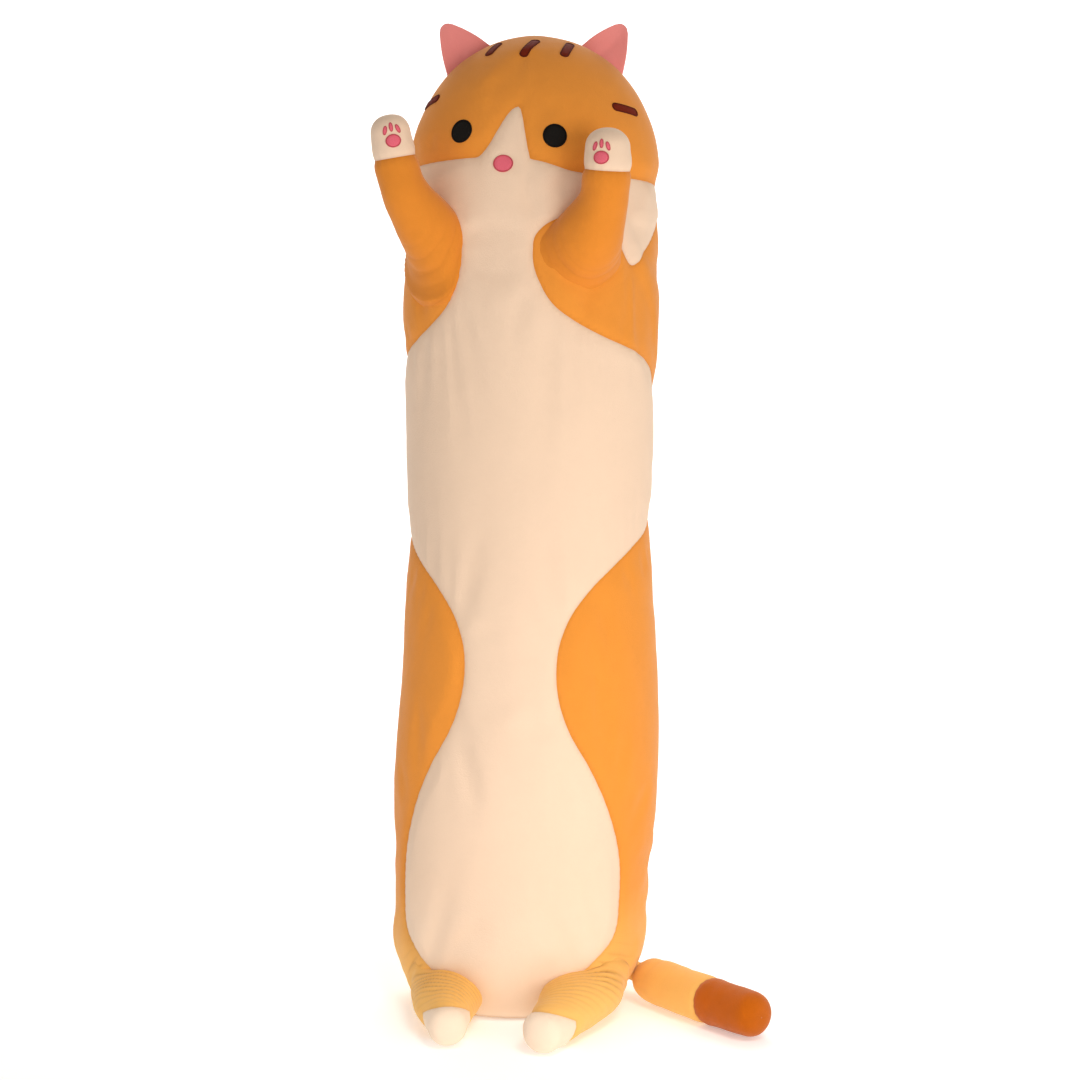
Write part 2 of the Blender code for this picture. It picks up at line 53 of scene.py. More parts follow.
DOME_POWER = 2.3
BASE_ROUNDING = 0.085
BASE_FLAT = 0.62
DEPTH_RATIO = 0.84
BODY_STATIONS = (
    (0.000, 0.1405, -0.0130), (0.140, 0.1440, -0.0073), (0.270, 0.1472, -0.0018),
    (0.410, 0.1415, 0.0018), (0.520, 0.1352, 0.0020), (0.650, 0.1370, 0.0020),
    (0.780, 0.1418, 0.0036), (0.900, 0.1378, 0.0066), (0.980, 0.1341, 0.0075), (1.036, 0.1284, 0.0080),
    (1.077, 0.1230, 0.0085),
)
TWIST_STATIONS = ((0.0, -5.0), (0.20, -8.5), (0.50, -9.0), (0.66, -11.5), (0.78, -15.2), (1.077, -15.5))
BASE_SEAM_Z = 0.0016
# Belly seam: height, and pattern angle to either side of the front.
BELLY_SEAM = (
    (0.000, 20.0), (0.020, 21.0), (0.055, 36.0), (0.090, 54.0), (0.130, 57.5), (0.180, 56.0), (0.225, 49.0),
    (0.280, 37.0), (0.320, 27.0), (0.350, 22.5), (0.385, 20.8), (0.420, 23.0), (0.456, 31.5),
    (0.490, 48.0), (0.515, 67.0), (0.545, 98.0), (0.610, 112.0), (0.681, 104.0), (0.720, 80.0),
    (0.738, 53.0), (0.765, 30.0), (0.800, 19.0), (0.832, 16.4), (0.850, 18.0), (0.861, 23.0), (0.870, 31.0),
)
# Shoulder seams: pattern angle round from the front, and height. Both sides start and end alike.
SEAM_FRONT = ((0.0, 0.868), (24.0, 0.870), (36.0, 0.872))
SEAM_BACK = ((119.0, 0.925), (180.0, 0.960))
SHOULDER_SEAM = SEAM_FRONT + (
    (54.0, 0.850), (66.0, 0.8205), (78.0, 0.837), (93.0, 0.861), (106.0, 0.885)) + SEAM_BACK
SHOULDER_SEAM_RIGHT = SEAM_FRONT + (
    (54.0, 0.868), (66.0, 0.866), (78.0, 0.872), (93.0, 0.882), (106.0, 0.895)) + SEAM_BACK
CROWN_SEAM_Z = 0.9135
CROWN_SEAM_RISE = 0.018
CROWN_RISE_ANGLE = 24.0
CROWN_RISE_SPREAD = 12.0
CROWN_FALL_START, CROWN_FALL_SPAN = 60.0, 90.0
BLAZE_ANGLE = 8.0
BLAZE_HEIGHT = 0.0555
BLAZE_GENTLE = 19.0
BLAZE_STEEP = 7.5

# Spacing of the mesh over the body and along the limbs.
GRID = 0.0036
LIMB_GRID = 0.0021


def curve(x, stations, column=1):
    """Smooth value at x through rows of (position, value, ...)."""
    table = np.array(stations)
    xs, ys = table[:, 0], table[:, column]
    x = np.clip(np.asarray(x, float), xs[0], xs[-1])
    i = np.clip(np.searchsorted(xs, x) - 1, 0, len(xs) - 2)
    slope = np.gradient(ys, xs)
    width = xs[i + 1] - xs[i]
    s = (x - xs[i]) / width
    low = (2 * s**3 - 3 * s**2 + 1) * ys[i] + (s**3 - 2 * s**2 + s) * width * slope[i]
    high = (3 * s**2 - 2 * s**3) * ys[i + 1] + (s**3 - s**2) * width * slope[i + 1]
    return low + high


def body_radius(z):
    """Half width of the body: its stations, rounded in at the foot and closed by the dome."""
    top = np.clip((z - BODY_TOP + DOME_HEIGHT) / DOME_HEIGHT, 0.0, 1.0)
    foot = np.clip(1.0 - z / BASE_ROUNDING, 0.0, 1.0)
    rounding = np.sqrt(1.0 - foot**2)
    dome = (1.0 - top**DOME_POWER) ** (1.0 / DOME_POWER)
    return curve(z, BODY_STATIONS) * dome * (BASE_FLAT + (1.0 - BASE_FLAT) * rounding)


def body_point(angle, z, scale=1.0):
    """Points of the body form at pattern angles (degrees) and heights."""
    angle, z = np.asarray(angle, float), np.asarray(z, float)
    turn = np.radians(angle + curve(z, TWIST_STATIONS))
    r = body_radius(z) * scale
    x = curve(z, BODY_STATIONS, 2) + r * np.sin(turn)
    return np.stack([x, -DEPTH_RATIO * r * np.cos(turn), z + 0.0 * x], axis=-1)


def unit(v):
    """Vectors at length one."""
    return v / np.maximum(np.linalg.norm(v, axis=-1, keepdims=True), 1e-12)


def body_normal(angle, z):
    """Outward direction of the body form."""
    step, rise = 0.5, 0.0006
    high = np.minimum(z + rise, BODY_TOP - 1e-5)
    low = np.maximum(z - rise, 1e-6)
    across = body_point(angle + step, z) - body_point(angle - step, z)
    up = body_point(angle, high) - body_point(angle, low)
    return unit(np.cross(across, up))


def depth_in_body(p):
    """Roughly how far points lie outside the body form, negative inside."""
    z = np.clip(p[..., 2], 0.002, BODY_TOP - 0.002)
    r = np.maximum(body_radius(z), 0.01)
    x = (p[..., 0] - curve(z, BODY_STATIONS, 2)) / r
    y = p[..., 1] / (DEPTH_RATIO * r)
    return (np.sqrt(x * x + y * y) - 1.0) * r * 0.5 * (1.0 + DEPTH_RATIO)


def pattern_angle(p):
    """Pattern angle at which points in space stand round the body."""
    x = p[..., 0] - curve(p[..., 2], BODY_STATIONS, 2)
    turn = np.degrees(np.arctan2(x, -p[..., 1] / DEPTH_RATIO)) - curve(p[..., 2], TWIST_STATIONS)
    return (turn + 180.0) % 360.0 - 180.0


# ---------------------------------------------------------------- seams
def crown_seam(angle):
    """Height of the crown's lower edge, with the blaze cut up into it."""
    side = 0.5 - 0.5 * np.tanh((angle - CROWN_RISE_ANGLE) / CROWN_RISE_SPREAD)
    back = np.clip((-angle - CROWN_FALL_START) / CROWN_FALL_SPAN, 0.0, 1.0)
    level = CROWN_SEAM_Z + CROWN_SEAM_RISE * side * (1.0 - back * back * (3.0 - 2.0 * back))
    away = angle - BLAZE_ANGLE
    width = np.where(away < 0.0, BLAZE_GENTLE, BLAZE_STEEP)
    return level + BLAZE_HEIGHT * (0.5 + 0.5 * np.cos(np.pi * np.minimum(np.abs(away) / width, 1.0)))


def above_crown(angle, z):
    """Distance past the crown seam, positive above it."""
    step = 0.6
    run = 2.0 * math.radians(step) * float(body_radius(CROWN_SEAM_Z))
    slope = (crown_seam(angle + step) - crown_seam(angle - step)) / run
    return (z - crown_seam(angle)) / np.sqrt(1.0 + slope**2)


def shoulder_seam(angle, side):
    """Height of the shoulder seam at an unsigned pattern angle, on the side that angle lies on."""
    return np.where(angle < 0.0, curve(side, SHOULDER_SEAM_RIGHT), curve(side, SHOULDER_SEAM))


def in_cream(angle, z):
    """Distance inside the cream cloth of belly and face, negative in the orange."""
    side = np.abs(angle)
    rise, step = 0.004, 2.0
    radius = np.maximum(body_radius(np.clip(z, 0.0, BODY_TOP)), 0.002)
    slope = np.radians(curve(z + rise, BELLY_SEAM) - curve(z - rise, BELLY_SEAM)) * radius / (2.0 * rise)
    belly = np.radians(curve(z, BELLY_SEAM) - side) * radius / np.sqrt(1.0 + slope**2)
    run = 2.0 * math.radians(step) * radius
    grade = (shoulder_seam(angle, side + step) - shoulder_seam(angle, side - step)) / run
    face = (z - shoulder_seam(angle, side)) / np.sqrt(1.0 + grade**2)
    return np.maximum(belly, face)


def above_base(angle, z):
    """Height above the seam of the underside panel."""
    return z - BASE_SEAM_Z + 0.0 * angle


# ---------------------------------------------------------------- noise helpers
def rough(points, scale, seed=0.0):
    """Smooth noise from -1 to 1 at an array of points."""
    flat = np.asarray(points).reshape(-1, 3) * scale + seed
    values = [noise.noise(Vector(p)) for p in flat]
    return np.array(values).reshape(np.shape(points)[:-1])


def bell(x, width):
    """One at zero, falling off smoothly over a width."""
    return np.exp(-((x / width) ** 2))


# ---------------------------------------------------------------- limb layout, as in the part
ARM_LEFT_RADII = (0.0400, 0.0385, 0.0265, 0.0248, 0.0238)
ARM_LEFT = ((0.0500, -0.0600, 0.8280), (0.0620, -0.1100, 0.8430), (0.0790, -0.1400, 0.8790),
            (0.0830, -0.1500, 0.9080), (0.0835, -0.1530, 0.9325))
ARM_RIGHT_RADII = (0.0380, 0.0340, 0.0258, 0.0228, 0.0211)
ARM_RIGHT = ((-0.0760, -0.0500, 0.8200), (-0.1020, -0.0860, 0.8540), (-0.1268, -0.1130, 0.8890),
             (-0.1366, -0.1205, 0.9160), (-0.1430, -0.1260, 0.9530))
LEG_LEFT_RADII = (0.0300, 0.0400, 0.0370, 0.0276, 0.0222)
LEG_LEFT = ((0.0760, -0.0440, 0.0320), (0.0640, -0.0820, 0.0305), (0.0490, -0.1220, 0.0290),
            (0.0330, -0.1660, 0.0262), (0.0185, -0.2035, 0.0238))
LEG_RIGHT_RADII = (0.0290, 0.0390, 0.0350, 0.0258, 0.0212)
LEG_RIGHT = ((-0.0850, -0.0400, 0.0320), (-0.0870, -0.0800, 0.0300), (-0.0878, -0.1200, 0.0285),
             (-0.0855, -0.1520, 0.0255), (-0.0835, -0.1790, 0.0230))
TAIL = ((0.0760, 0.0560, 0.0330), (0.1150, 0.0320, 0.0265), (0.1330, 0.0010, 0.0245),
        (0.1385, -0.0105, 0.0250), (0.1450, -0.0250, 0.0262), (0.1880, -0.0870, 0.0262),
        (0.2330, -0.1480, 0.0262))
TAIL_RADII = (0.0110, 0.0115, 0.0112, 0.0200, 0.0250, 0.0252, 0.0240)
FLOOR_CLEARANCE = 0.0010


# ---------------------------------------------------------------- skin relief
def seam_distance(angle, z):
    """Distance along the cloth to the nearest body seam."""
    near = np.abs(above_crown(angle, z))
    below = z < crown_seam(angle) + 0.004
    near = np.where(below, np.minimum(near, np.abs(in_cream(angle, z))), near)
    back = np.radians(180.0 - np.abs(angle)) * body_radius(z)
    near = np.where(below, np.minimum(near, back), near)
    return np.minimum(near, np.abs(z - BASE_SEAM_Z))


def ridges(phase):
    """Rounded ridges with narrow valleys between them, from -1 to 1."""
    return 2.0 * np.abs(np.sin(np.pi * phase)) ** 0.9 - 1.0


def crease_rings(points, start, end, first, spacing, reach):
    """Phase and strength of the rings of creases round a limb's root, strongest next to it."""
    start, end = np.array(start), np.array(end)
    line = unit(end - start)
    rel = points - start
    away = np.linalg.norm(rel - (rel @ line)[..., None] * line, axis=-1)
    phase = (away - first) / spacing + 0.35 * rough(points, 28.0, 3.1)
    fade = np.exp(-np.maximum(away - first, 0.0) / reach) * (away > 0.6 * first)
    return phase, fade * np.clip((rel @ line) / 0.04 + 0.5, 0.0, 1.0)


SEAM_DEPTH, SEAM_WIDTH = 0.0013, 0.0048
PUFF_HEIGHT, PUFF_AWAY, PUFF_WIDTH = 0.0005, 0.015, 0.010
PUCKER_HEIGHT, PUCKER_STEP, PUCKER_REACH = 0.00025, 0.0105, 0.0080
WIDE_DENTS, SMALL_DENTS = 0.0010, 0.0005
CREASE_RINGS = {"first": 0.040, "spacing": 0.0105, "reach": 0.013}
CREASE_HEIGHT = 0.0018
CREASE_SHARES = ((LEG_LEFT, 0.5), (LEG_RIGHT, 0.5), (ARM_LEFT, 0.15), (ARM_RIGHT, 0.15))
# Radius of the body skin that each limb's root holds still while the cloth settles.
HELD_ROOTS = ((ARM_LEFT, 0.036), (ARM_RIGHT, 0.034), (LEG_LEFT, 0.036), (LEG_RIGHT, 0.036), (TAIL, 0.012))
CLOTH = {"quality": 6, "mass": 0.12, "tension_stiffness": 20.0, "compression_stiffness": 12.0,
         "shear_stiffness": 6.0, "bending_stiffness": 0.35, "air_damping": 4.0, "use_pressure": True,
         "uniform_pressure_force": 4.0, "vertex_group_shrink": "seam", "shrink_min": -0.012,
         "shrink_max": 0.055, "vertex_group_mass": "hold", "pin_stiffness": 0.9}
SETTLE_COLUMNS = 110
SETTLE_SPACING = 0.0085
SETTLE_FRAMES = 20
SETTLE_CAP = 0.0022
SETTLE_SMOOTHING = 90
HOLD_FOOT, HOLD_EDGE = 0.02, 0.012


def settling_rows():
    """Heights of rows that lie evenly along the body's profile."""
    fine = BODY_TOP * 0.5 * (1.0 - np.cos(np.linspace(0.0, math.pi, 4000)))[:-1]
    run = np.concatenate([[0.0], np.cumsum(np.hypot(np.diff(fine), np.diff(body_radius(fine))))])
    return np.interp(np.linspace(0.0, run[-1], int(run[-1] / SETTLE_SPACING)), run, fine)


def held_share(place, height):
    """How firmly the skin is held: fully on the foot and inside the roots of the limbs."""
    held = np.clip(1.0 - height / HOLD_FOOT, 0.0, 1.0)
    for stations, radius in HELD_ROOTS:
        start, line = np.array(stations[0]), unit(np.array(stations[2]) - np.array(stations[0]))
        rel = place - start
        ahead = rel @ line
        away = np.linalg.norm(rel - ahead[:, None] * line, axis=1)
        near = np.clip((radius + 0.5 * HOLD_EDGE - away) / HOLD_EDGE, 0.0, 1.0)
        held = np.maximum(held, near * (ahead > -HOLD_FOOT))
    return held


def settled_cloth():
    """Cloth simulation of the stuffed skin: filling pressure inside, seams drawn in, roots held."""
    rows = settling_rows()
    angles = np.linspace(-180.0, 180.0, SETTLE_COLUMNS, endpoint=False)
    grid_angle, grid_z = (g.ravel() for g in np.meshgrid(angles, rows))
    place, normal = body_point(grid_angle, grid_z), body_normal(grid_angle, grid_z)
    start = place + normal * (0.0006 * rough(place, 30.0, 4.0))[:, None]
    faces = tube_faces(len(rows), SETTLE_COLUMNS)
    foot, pole = len(start), len(start) + 1
    last = (len(rows) - 1) * SETTLE_COLUMNS
    for c in range(SETTLE_COLUMNS):
        d = (c + 1) % SETTLE_COLUMNS
        faces += [(foot, d, c), (last + c, last + d, pole)]
    start = np.vstack([start, body_point(0.0, 0.0, 0.0), body_point(0.0, BODY_TOP)])
    obj = mesh_object("settling", start, faces, smooth=False)
    weights = {"seam": bell(seam_distance(grid_angle, grid_z), 0.009), "hold": held_share(place, grid_z)}
    for label, values in weights.items():
        group = obj.vertex_groups.new(name=label)
        for i in np.nonzero(values > 0.01)[0]:
            group.add([int(i)], float(values[i]), "REPLACE")
    mod = obj.modifiers.new("cloth", "CLOTH")
    for setting, value in CLOTH.items():
        setattr(mod.settings, setting, value)
    mod.settings.effector_weights.gravity = 0.0
    mod.point_cache.frame_start = 1
    mod.point_cache.frame_end = SETTLE_FRAMES
    for frame_number in range(1, SETTLE_FRAMES + 1):
        bpy.context.scene.frame_set(frame_number)
    settled = obj.evaluated_get(bpy.context.evaluated_depsgraph_get()).to_mesh()
    rest = np.array([v.co[:] for v in settled.vertices])[:len(place)]
    moved = ((rest - place) * normal).sum(axis=1).reshape(len(rows), SETTLE_COLUMNS)
    bpy.data.objects.remove(obj)
    bpy.context.scene.frame_set(1)
    return rows, angles, moved


def widely_smoothed(values, turns):
    """Values averaged with their neighbours many times, wrapping round the body."""
    for _ in range(turns):
        padded = np.vstack([values[:1], values, values[-1:]])
        beside = padded[:-2] + padded[2:] + np.roll(values, 1, 1) + np.roll(values, -1, 1)
        values = 0.5 * values + 0.125 * beside
    return values


def cloth_folds():
    """The settled cloth's own dents and folds, without its overall swelling, as a table over the body."""
    rows, angles, moved = settled_cloth()
    folds = widely_smoothed(moved, 1) - widely_smoothed(moved, SETTLE_SMOOTHING)
    return rows, SETTLE_CAP * np.tanh(folds / SETTLE_CAP)


def settled_height(angle, z):
    """Settled cloth's height at pattern angles and heights, read smoothly from the table."""
    if FOLDS is None:
        return 0.0 * z
    rows, folds = FOLDS
    level = np.interp(z, rows, np.arange(len(rows)))
    turn = (angle + 180.0) / 360.0 * SETTLE_COLUMNS
    low, left = np.floor(level).astype(int), np.floor(turn).astype(int)
    up, across = level - low, turn - left
    high, right = np.minimum(low + 1, len(rows) - 1), (left + 1) % SETTLE_COLUMNS
    left = left % SETTLE_COLUMNS
    below = folds[low, left] * (1.0 - across) + folds[low, right] * across
    above = folds[high, left] * (1.0 - across) + folds[high, right] * across
    return below * (1.0 - up) + above * up


def body_creases(angle, z):
    """Height, phase and strength of the creases round the limb roots, only on the orange cloth."""
    base = body_point(angle, z)
    dark_side = np.clip(-in_cream(angle, z) / 0.012, 0.0, 1.0)
    height, phase, strength = 0.0 * z, 0.0 * z, 0.0 * z
    for stations, share in CREASE_SHARES:
        own_phase, own = crease_rings(base, stations[0], stations[2], **CREASE_RINGS)
        own = own * dark_side * share
        height = height + CREASE_HEIGHT * own * ridges(own_phase)
        phase = np.where(own > strength, own_phase, phase)
        strength = np.maximum(own, strength)
    return height, phase, strength


def skin_relief(angle, z):
    """Height of the cloth above the plain body form: seams, puckers, soft dents and creases."""
    base = body_point(angle, z)
    near = seam_distance(angle, z)
    along = z + 0.7 * np.radians(np.abs(angle)) * body_radius(z)
    ripple = np.sin(2.0 * np.pi * along / PUCKER_STEP + 2.2 * rough(base, 35.0, 7.0))
    relief = -SEAM_DEPTH * bell(near, SEAM_WIDTH) + PUFF_HEIGHT * bell(near - PUFF_AWAY, PUFF_WIDTH)
    relief += PUCKER_HEIGHT * ripple * np.exp(-near / PUCKER_REACH)
    relief += WIDE_DENTS * rough(base * (1.0, 1.0, 0.55), 8.0) + SMALL_DENTS * rough(base, 26.0, 11.0)
    relief += settled_height(angle, z)
    relief += body_creases(angle, z)[0]
    flat_foot = np.clip(z / 0.02, 0.0, 1.0)
    return relief * flat_foot


# ---------------------------------------------------------------- mesh helpers
def smooth_inside(mesh):
    """Smooth shading everywhere but across the open edges of the cloth."""
    bm = bmesh.new()
    bm.from_mesh(mesh)
    for edge in bm.edges:
        edge.smooth = not edge.is_boundary
    for face in bm.faces:
        face.smooth = True
    bm.to_mesh(mesh)
    bm.free()
    mesh.update()


def mesh_object(name, points, faces, smooth=True):
    """New object from points and faces, shaded smooth unless told otherwise."""
    mesh = bpy.data.meshes.new(name)
    mesh.from_pydata([tuple(p) for p in points], [], faces)
    mesh.validate()
    mesh.update()
    if smooth:
        smooth_inside(mesh)
    obj = bpy.data.objects.new(name, mesh)
    bpy.context.scene.collection.objects.link(obj)
    return obj


def sheet_faces(rows, columns):
    """Faces of a grid of points that is open on every side."""
    wide = columns + 1
    corners = [r * wide + c for r in range(rows - 1) for c in range(columns)]
    return [(a, a + 1, a + 1 + wide, a + wide) for a in corners]


def tube_faces(rows, sides, start=0):
    """Faces of rings of points that close round a tube with open ends."""
    faces = []
    for r in range(rows - 1):
        for c in range(sides):
            d = (c + 1) % sides
            a = start + r * sides
            faces.append((a + c, a + d, a + sides + d, a + sides + c))
    return faces


def capped_tube(rows, sides):
    """Faces of a tube with one face across each end."""
    last = (rows - 1) * sides
    ends = [tuple(range(sides))[::-1], tuple(last + c for c in range(sides))]
    return tube_faces(rows, sides) + ends


def thicken(obj, thickness):
    """Give a cloth its thickness, inward from the modelled face."""
    mod = obj.modifiers.new("thickness", "SOLIDIFY")
    mod.thickness = thickness
    mod.offset = -1.0
    mod.use_rim = True
    return obj


def snap(points, faces, values, reach=0.35):
    """Move points that are close to the zero line onto it, so that cutting leaves no slivers."""
    best = {}
    for face in faces:
        for k, a in enumerate(face):
            b = face[(k + 1) % len(face)]
            if values[a] * values[b] >= 0.0:
                continue
            t = values[a] / (values[a] - values[b])
            near, share, far = (a, t, b) if t < 0.5 else (b, 1.0 - t, a)
            if share < reach and (near not in best or share < best[near][0]):
                best[near] = (share, points[near] * (1.0 - share) + points[far] * share)
    for near, (_, place) in best.items():
        points[near] = place
        values[near] = 0.0


def cut(points, faces, level):
    """Split every face along the zero line of level, so that no face crosses it."""
    values = level(points)
    snap(points, faces, values)
    values[np.abs(values) < 2e-5] = 0.0
    extra, made, result = [], {}, []
    for face in faces:
        v = [values[i] for i in face]
        if min(v) >= 0.0 or max(v) <= 0.0:
            result.append(face)
            continue
        sides = ([], [])
        for k, a in enumerate(face):
            b = face[(k + 1) % len(face)]
            if values[a] >= 0.0:
                sides[0].append(a)
            if values[a] <= 0.0:
                sides[1].append(a)
            if values[a] * values[b] < 0.0:
                key = (min(a, b), max(a, b))
                if key not in made:
                    t = values[key[0]] / (values[key[0]] - values[key[1]])
                    made[key] = len(points) + len(extra)
                    extra.append(points[key[0]] * (1.0 - t) + points[key[1]] * t)
                sides[0].append(made[key])
                sides[1].append(made[key])
        result += [tuple(s) for s in sides if len(s) > 2]
    if extra:
        points = np.vstack([points, extra])
    return points, result


def on_pattern(level):
    """Level over grid points from one over pattern angle and height."""
    return lambda points: level(points[:, 0], points[:, 1])


FOOT_RUN, DOME_RUN, GIRTH_RADIUS = 0.12, 0.235, 0.13


def body_rows():
    """Heights of the grid rows from the rim of the flat foot to just under the pole."""
    turns = np.linspace(0.0, math.pi / 2.0, max(int(FOOT_RUN / GRID), 8))
    foot = BASE_ROUNDING * (1.0 - np.cos(turns)) ** 1.15
    straight_top = BODY_TOP - DOME_HEIGHT
    straight = np.linspace(BASE_ROUNDING, straight_top, int((straight_top - BASE_ROUNDING) / GRID))
    arc = np.linspace(0.0, math.pi / 2.0, int(DOME_RUN / GRID))[1:-1]
    dome = straight_top + DOME_HEIGHT * np.sin(arc) ** (2.0 / DOME_POWER)
    return np.concatenate([foot[:-1], straight, dome])


def body_grid():
    """Grid of (angle, height) over the body, open at the foot, the pole and the back."""
    count = int(2.0 * math.pi * GIRTH_RADIUS / GRID)
    angles = np.linspace(-180.0, 180.0, count + 1)
    rows = body_rows()
    points = [(a, z) for z in rows for a in angles]
    return np.array(points), sheet_faces(len(rows), count)


def place_skin(points, inset=0.0, relief=True):
    """Points in space for (angle, height) points, with the cloth's relief or plain and inset."""
    angle, z = points[:, 0], points[:, 1]
    height = skin_relief(angle, z) if relief else 0.0 * z
    return body_point(angle, z) + body_normal(angle, z) * (height - inset)[:, None]


def mark(obj, marks):
    """Store smooth values at the vertices, from which the cloth's material paints shade along seams and
    creases and bumps them.
    """
    for label, values in marks.items():
        layer = obj.data.attributes.new(label, "FLOAT", "POINT")
        layer.data.foreach_set("value", np.asarray(values, np.float32))


def select(name, points, world, faces, wanted, marks):
    """Panel object from the faces whose middle satisfies every wanted sign."""
    middle = np.array([points[list(f)].mean(axis=0) for f in faces])
    inside = np.ones(len(faces), bool)
    for level, sign in wanted:
        inside &= level(middle) * sign > 0.0
    chosen = [f for f, k in zip(faces, inside) if k]
    used = sorted({i for f in chosen for i in f})
    index = {i: k for k, i in enumerate(used)}
    obj = mesh_object(name, world[used], [tuple(index[i] for i in f) for f in chosen])
    mark(obj, {label: values[used] for label, values in marks.items()})
    return obj


def close_loop(obj, centre, rings, reach=1e-4):
    """Merge the back edge of a ring-shaped panel, then fill one open end towards a centre point."""
    bm = bmesh.new()
    bm.from_mesh(obj.data)
    bmesh.ops.remove_doubles(bm, verts=bm.verts, dist=reach)
    centre = Vector(centre)
    rim = [e for e in bm.edges if e.is_boundary]
    rim = [e for e in rim if abs((e.verts[0].co - centre).z) < 0.02]
    for k in range(rings):
        grown = bmesh.ops.extrude_edge_only(bm, edges=rim)["geom"]
        verts = [g for g in grown if isinstance(g, bmesh.types.BMVert)]
        rim = [g for g in grown if isinstance(g, bmesh.types.BMEdge) and g.is_boundary]
        share = 1.0 - 1.0 / (rings - k + 1)
        for v in verts:
            v.co = centre + (v.co - centre) * share
    bmesh.ops.contextual_create(bm, geom=rim)
    bmesh.ops.recalc_face_normals(bm, faces=bm.faces)
    bm.to_mesh(obj.data)
    bm.free()
    smooth_inside(obj.data)


# ---------------------------------------------------------------- body panels
PANEL_CLOTH = 0.0018
SEAM_LINE_WIDTH = 0.0016
FOLDS = cloth_folds()
CREAM_SIDE, CROWN_SIDE, BASE_SIDE = on_pattern(in_cream), on_pattern(above_crown), on_pattern(above_base)
LEFT_SIDE = on_pattern(lambda angle, z: angle)
points, faces = body_grid()
for level in (CREAM_SIDE, CROWN_SIDE, BASE_SIDE):
    points, faces = cut(points, faces, level)
world = place_skin(points)
_, phase, strength = body_creases(points[:, 0], points[:, 1])
marks = {"seam_line": bell(seam_distance(points[:, 0], points[:, 1]), SEAM_LINE_WIDTH),
         "fold_phase": phase, "fold_strength": strength}
pole = tuple(body_point(0.0, BODY_TOP))
foot_centre = tuple(body_point(0.0, 0.0, 0.0))
MIDDLE = ((BASE_SIDE, 1), (CROWN_SIDE, -1))
belly = select("skin_belly", points, world, faces, MIDDLE + ((CREAM_SIDE, 1),), marks)
DARK_SIDE = MIDDLE + ((CREAM_SIDE, -1),)
side_left = select("skin_side_left", points, world, faces, DARK_SIDE + ((LEFT_SIDE, 1),), marks)
side_right = select("skin_side_right", points, world, faces, DARK_SIDE + ((LEFT_SIDE, -1),), marks)
crown = select("skin_crown", points, world, faces, ((CROWN_SIDE, 1),), marks)
base = select("skin_base", points, world, faces, ((BASE_SIDE, -1),), marks)
close_loop(crown, (pole[0], 0.0, BODY_TOP), 1)
close_loop(base, foot_centre, 8)
PANELS = (belly, side_left, side_right, crown, base)


def tree_of(objs):
    """One ray target from several objects' own faces."""
    verts, polys = [], []
    for obj in objs:
        start = len(verts)
        verts += [v.co.copy() for v in obj.data.vertices]
        polys += [tuple(start + i for i in p.vertices) for p in obj.data.polygons]
    return BVHTree.FromPolygons(verts, polys)


SKIN_TREE = tree_of(PANELS)
for panel in PANELS:
    thicken(panel, PANEL_CLOTH)


# ---------------------------------------------------------------- limbs
LIMB_CLOTH = 0.0016
LIMB_GIRTH_RADIUS = 0.027
HEM_DEPTH, HEM_WIDTH = 0.0012, 0.0032
HEM_PUFF, HEM_PUFF_AWAY, HEM_PUFF_WIDTH = 0.0006, 0.011, 0.008
HEM_PULL_HEIGHT, HEM_PULLS, HEM_PULL_REACH = 0.00025, 17.0, 0.006
HEM_LINE_WIDTH = 0.0015
DENT_HEIGHT, FINE_DENT_HEIGHT = 0.0009, 0.0003
LOWEST_CLOTH = 0.0008
TIP_LENGTH = 0.92


def limb_rings(stations, radii, spacing):
    """Centres, directions, radii and shares of even rings along a limb's centreline."""
    table = [(float(i), *p, r) for i, (p, r) in enumerate(zip(stations, radii))]
    t = np.linspace(0.0, len(stations) - 1.0, 400)
    line = np.stack([curve(t, table, c) for c in (1, 2, 3)], axis=-1)
    steps = np.linalg.norm(np.diff(line, axis=0), axis=1)
    run = np.concatenate([[0.0], np.cumsum(steps)])
    count = int(run[-1] / spacing)
    even = np.linspace(0.0, run[-1], count)
    tt = np.interp(even, run, t)
    centres = np.stack([curve(tt, table, c) for c in (1, 2, 3)], axis=-1)
    directions = unit(np.gradient(centres, axis=0))
    return centres, directions, curve(tt, table, 4), tt / (len(stations) - 1.0)


def add_tip(centres, directions, radii, shares, spacing, blunt=2.0):
    """Rings of the rounded end beyond the last centre, flatter with a higher bluntness."""
    last, way, r = centres[-1], directions[-1], radii[-1]
    turns = np.linspace(0.0, math.pi / 2.0, max(int(1.5 * r / spacing), 6))[1:]
    ahead = np.sin(turns) ** (2.0 / blunt)
    extra = last + way * (TIP_LENGTH * r * ahead)[:, None]
    narrowed = np.clip(1.0 - ahead**blunt, 0.0, 1.0) ** (1.0 / blunt)
    radii = np.concatenate([radii, np.maximum(r * narrowed, 0.0004)])
    centres = np.vstack([centres, extra])
    directions = np.vstack([directions, np.repeat(way[None], len(turns), axis=0)])
    shares = np.concatenate([shares, 1.0 + 0.01 * np.arange(1, len(turns) + 1)])
    return centres, directions, radii, shares


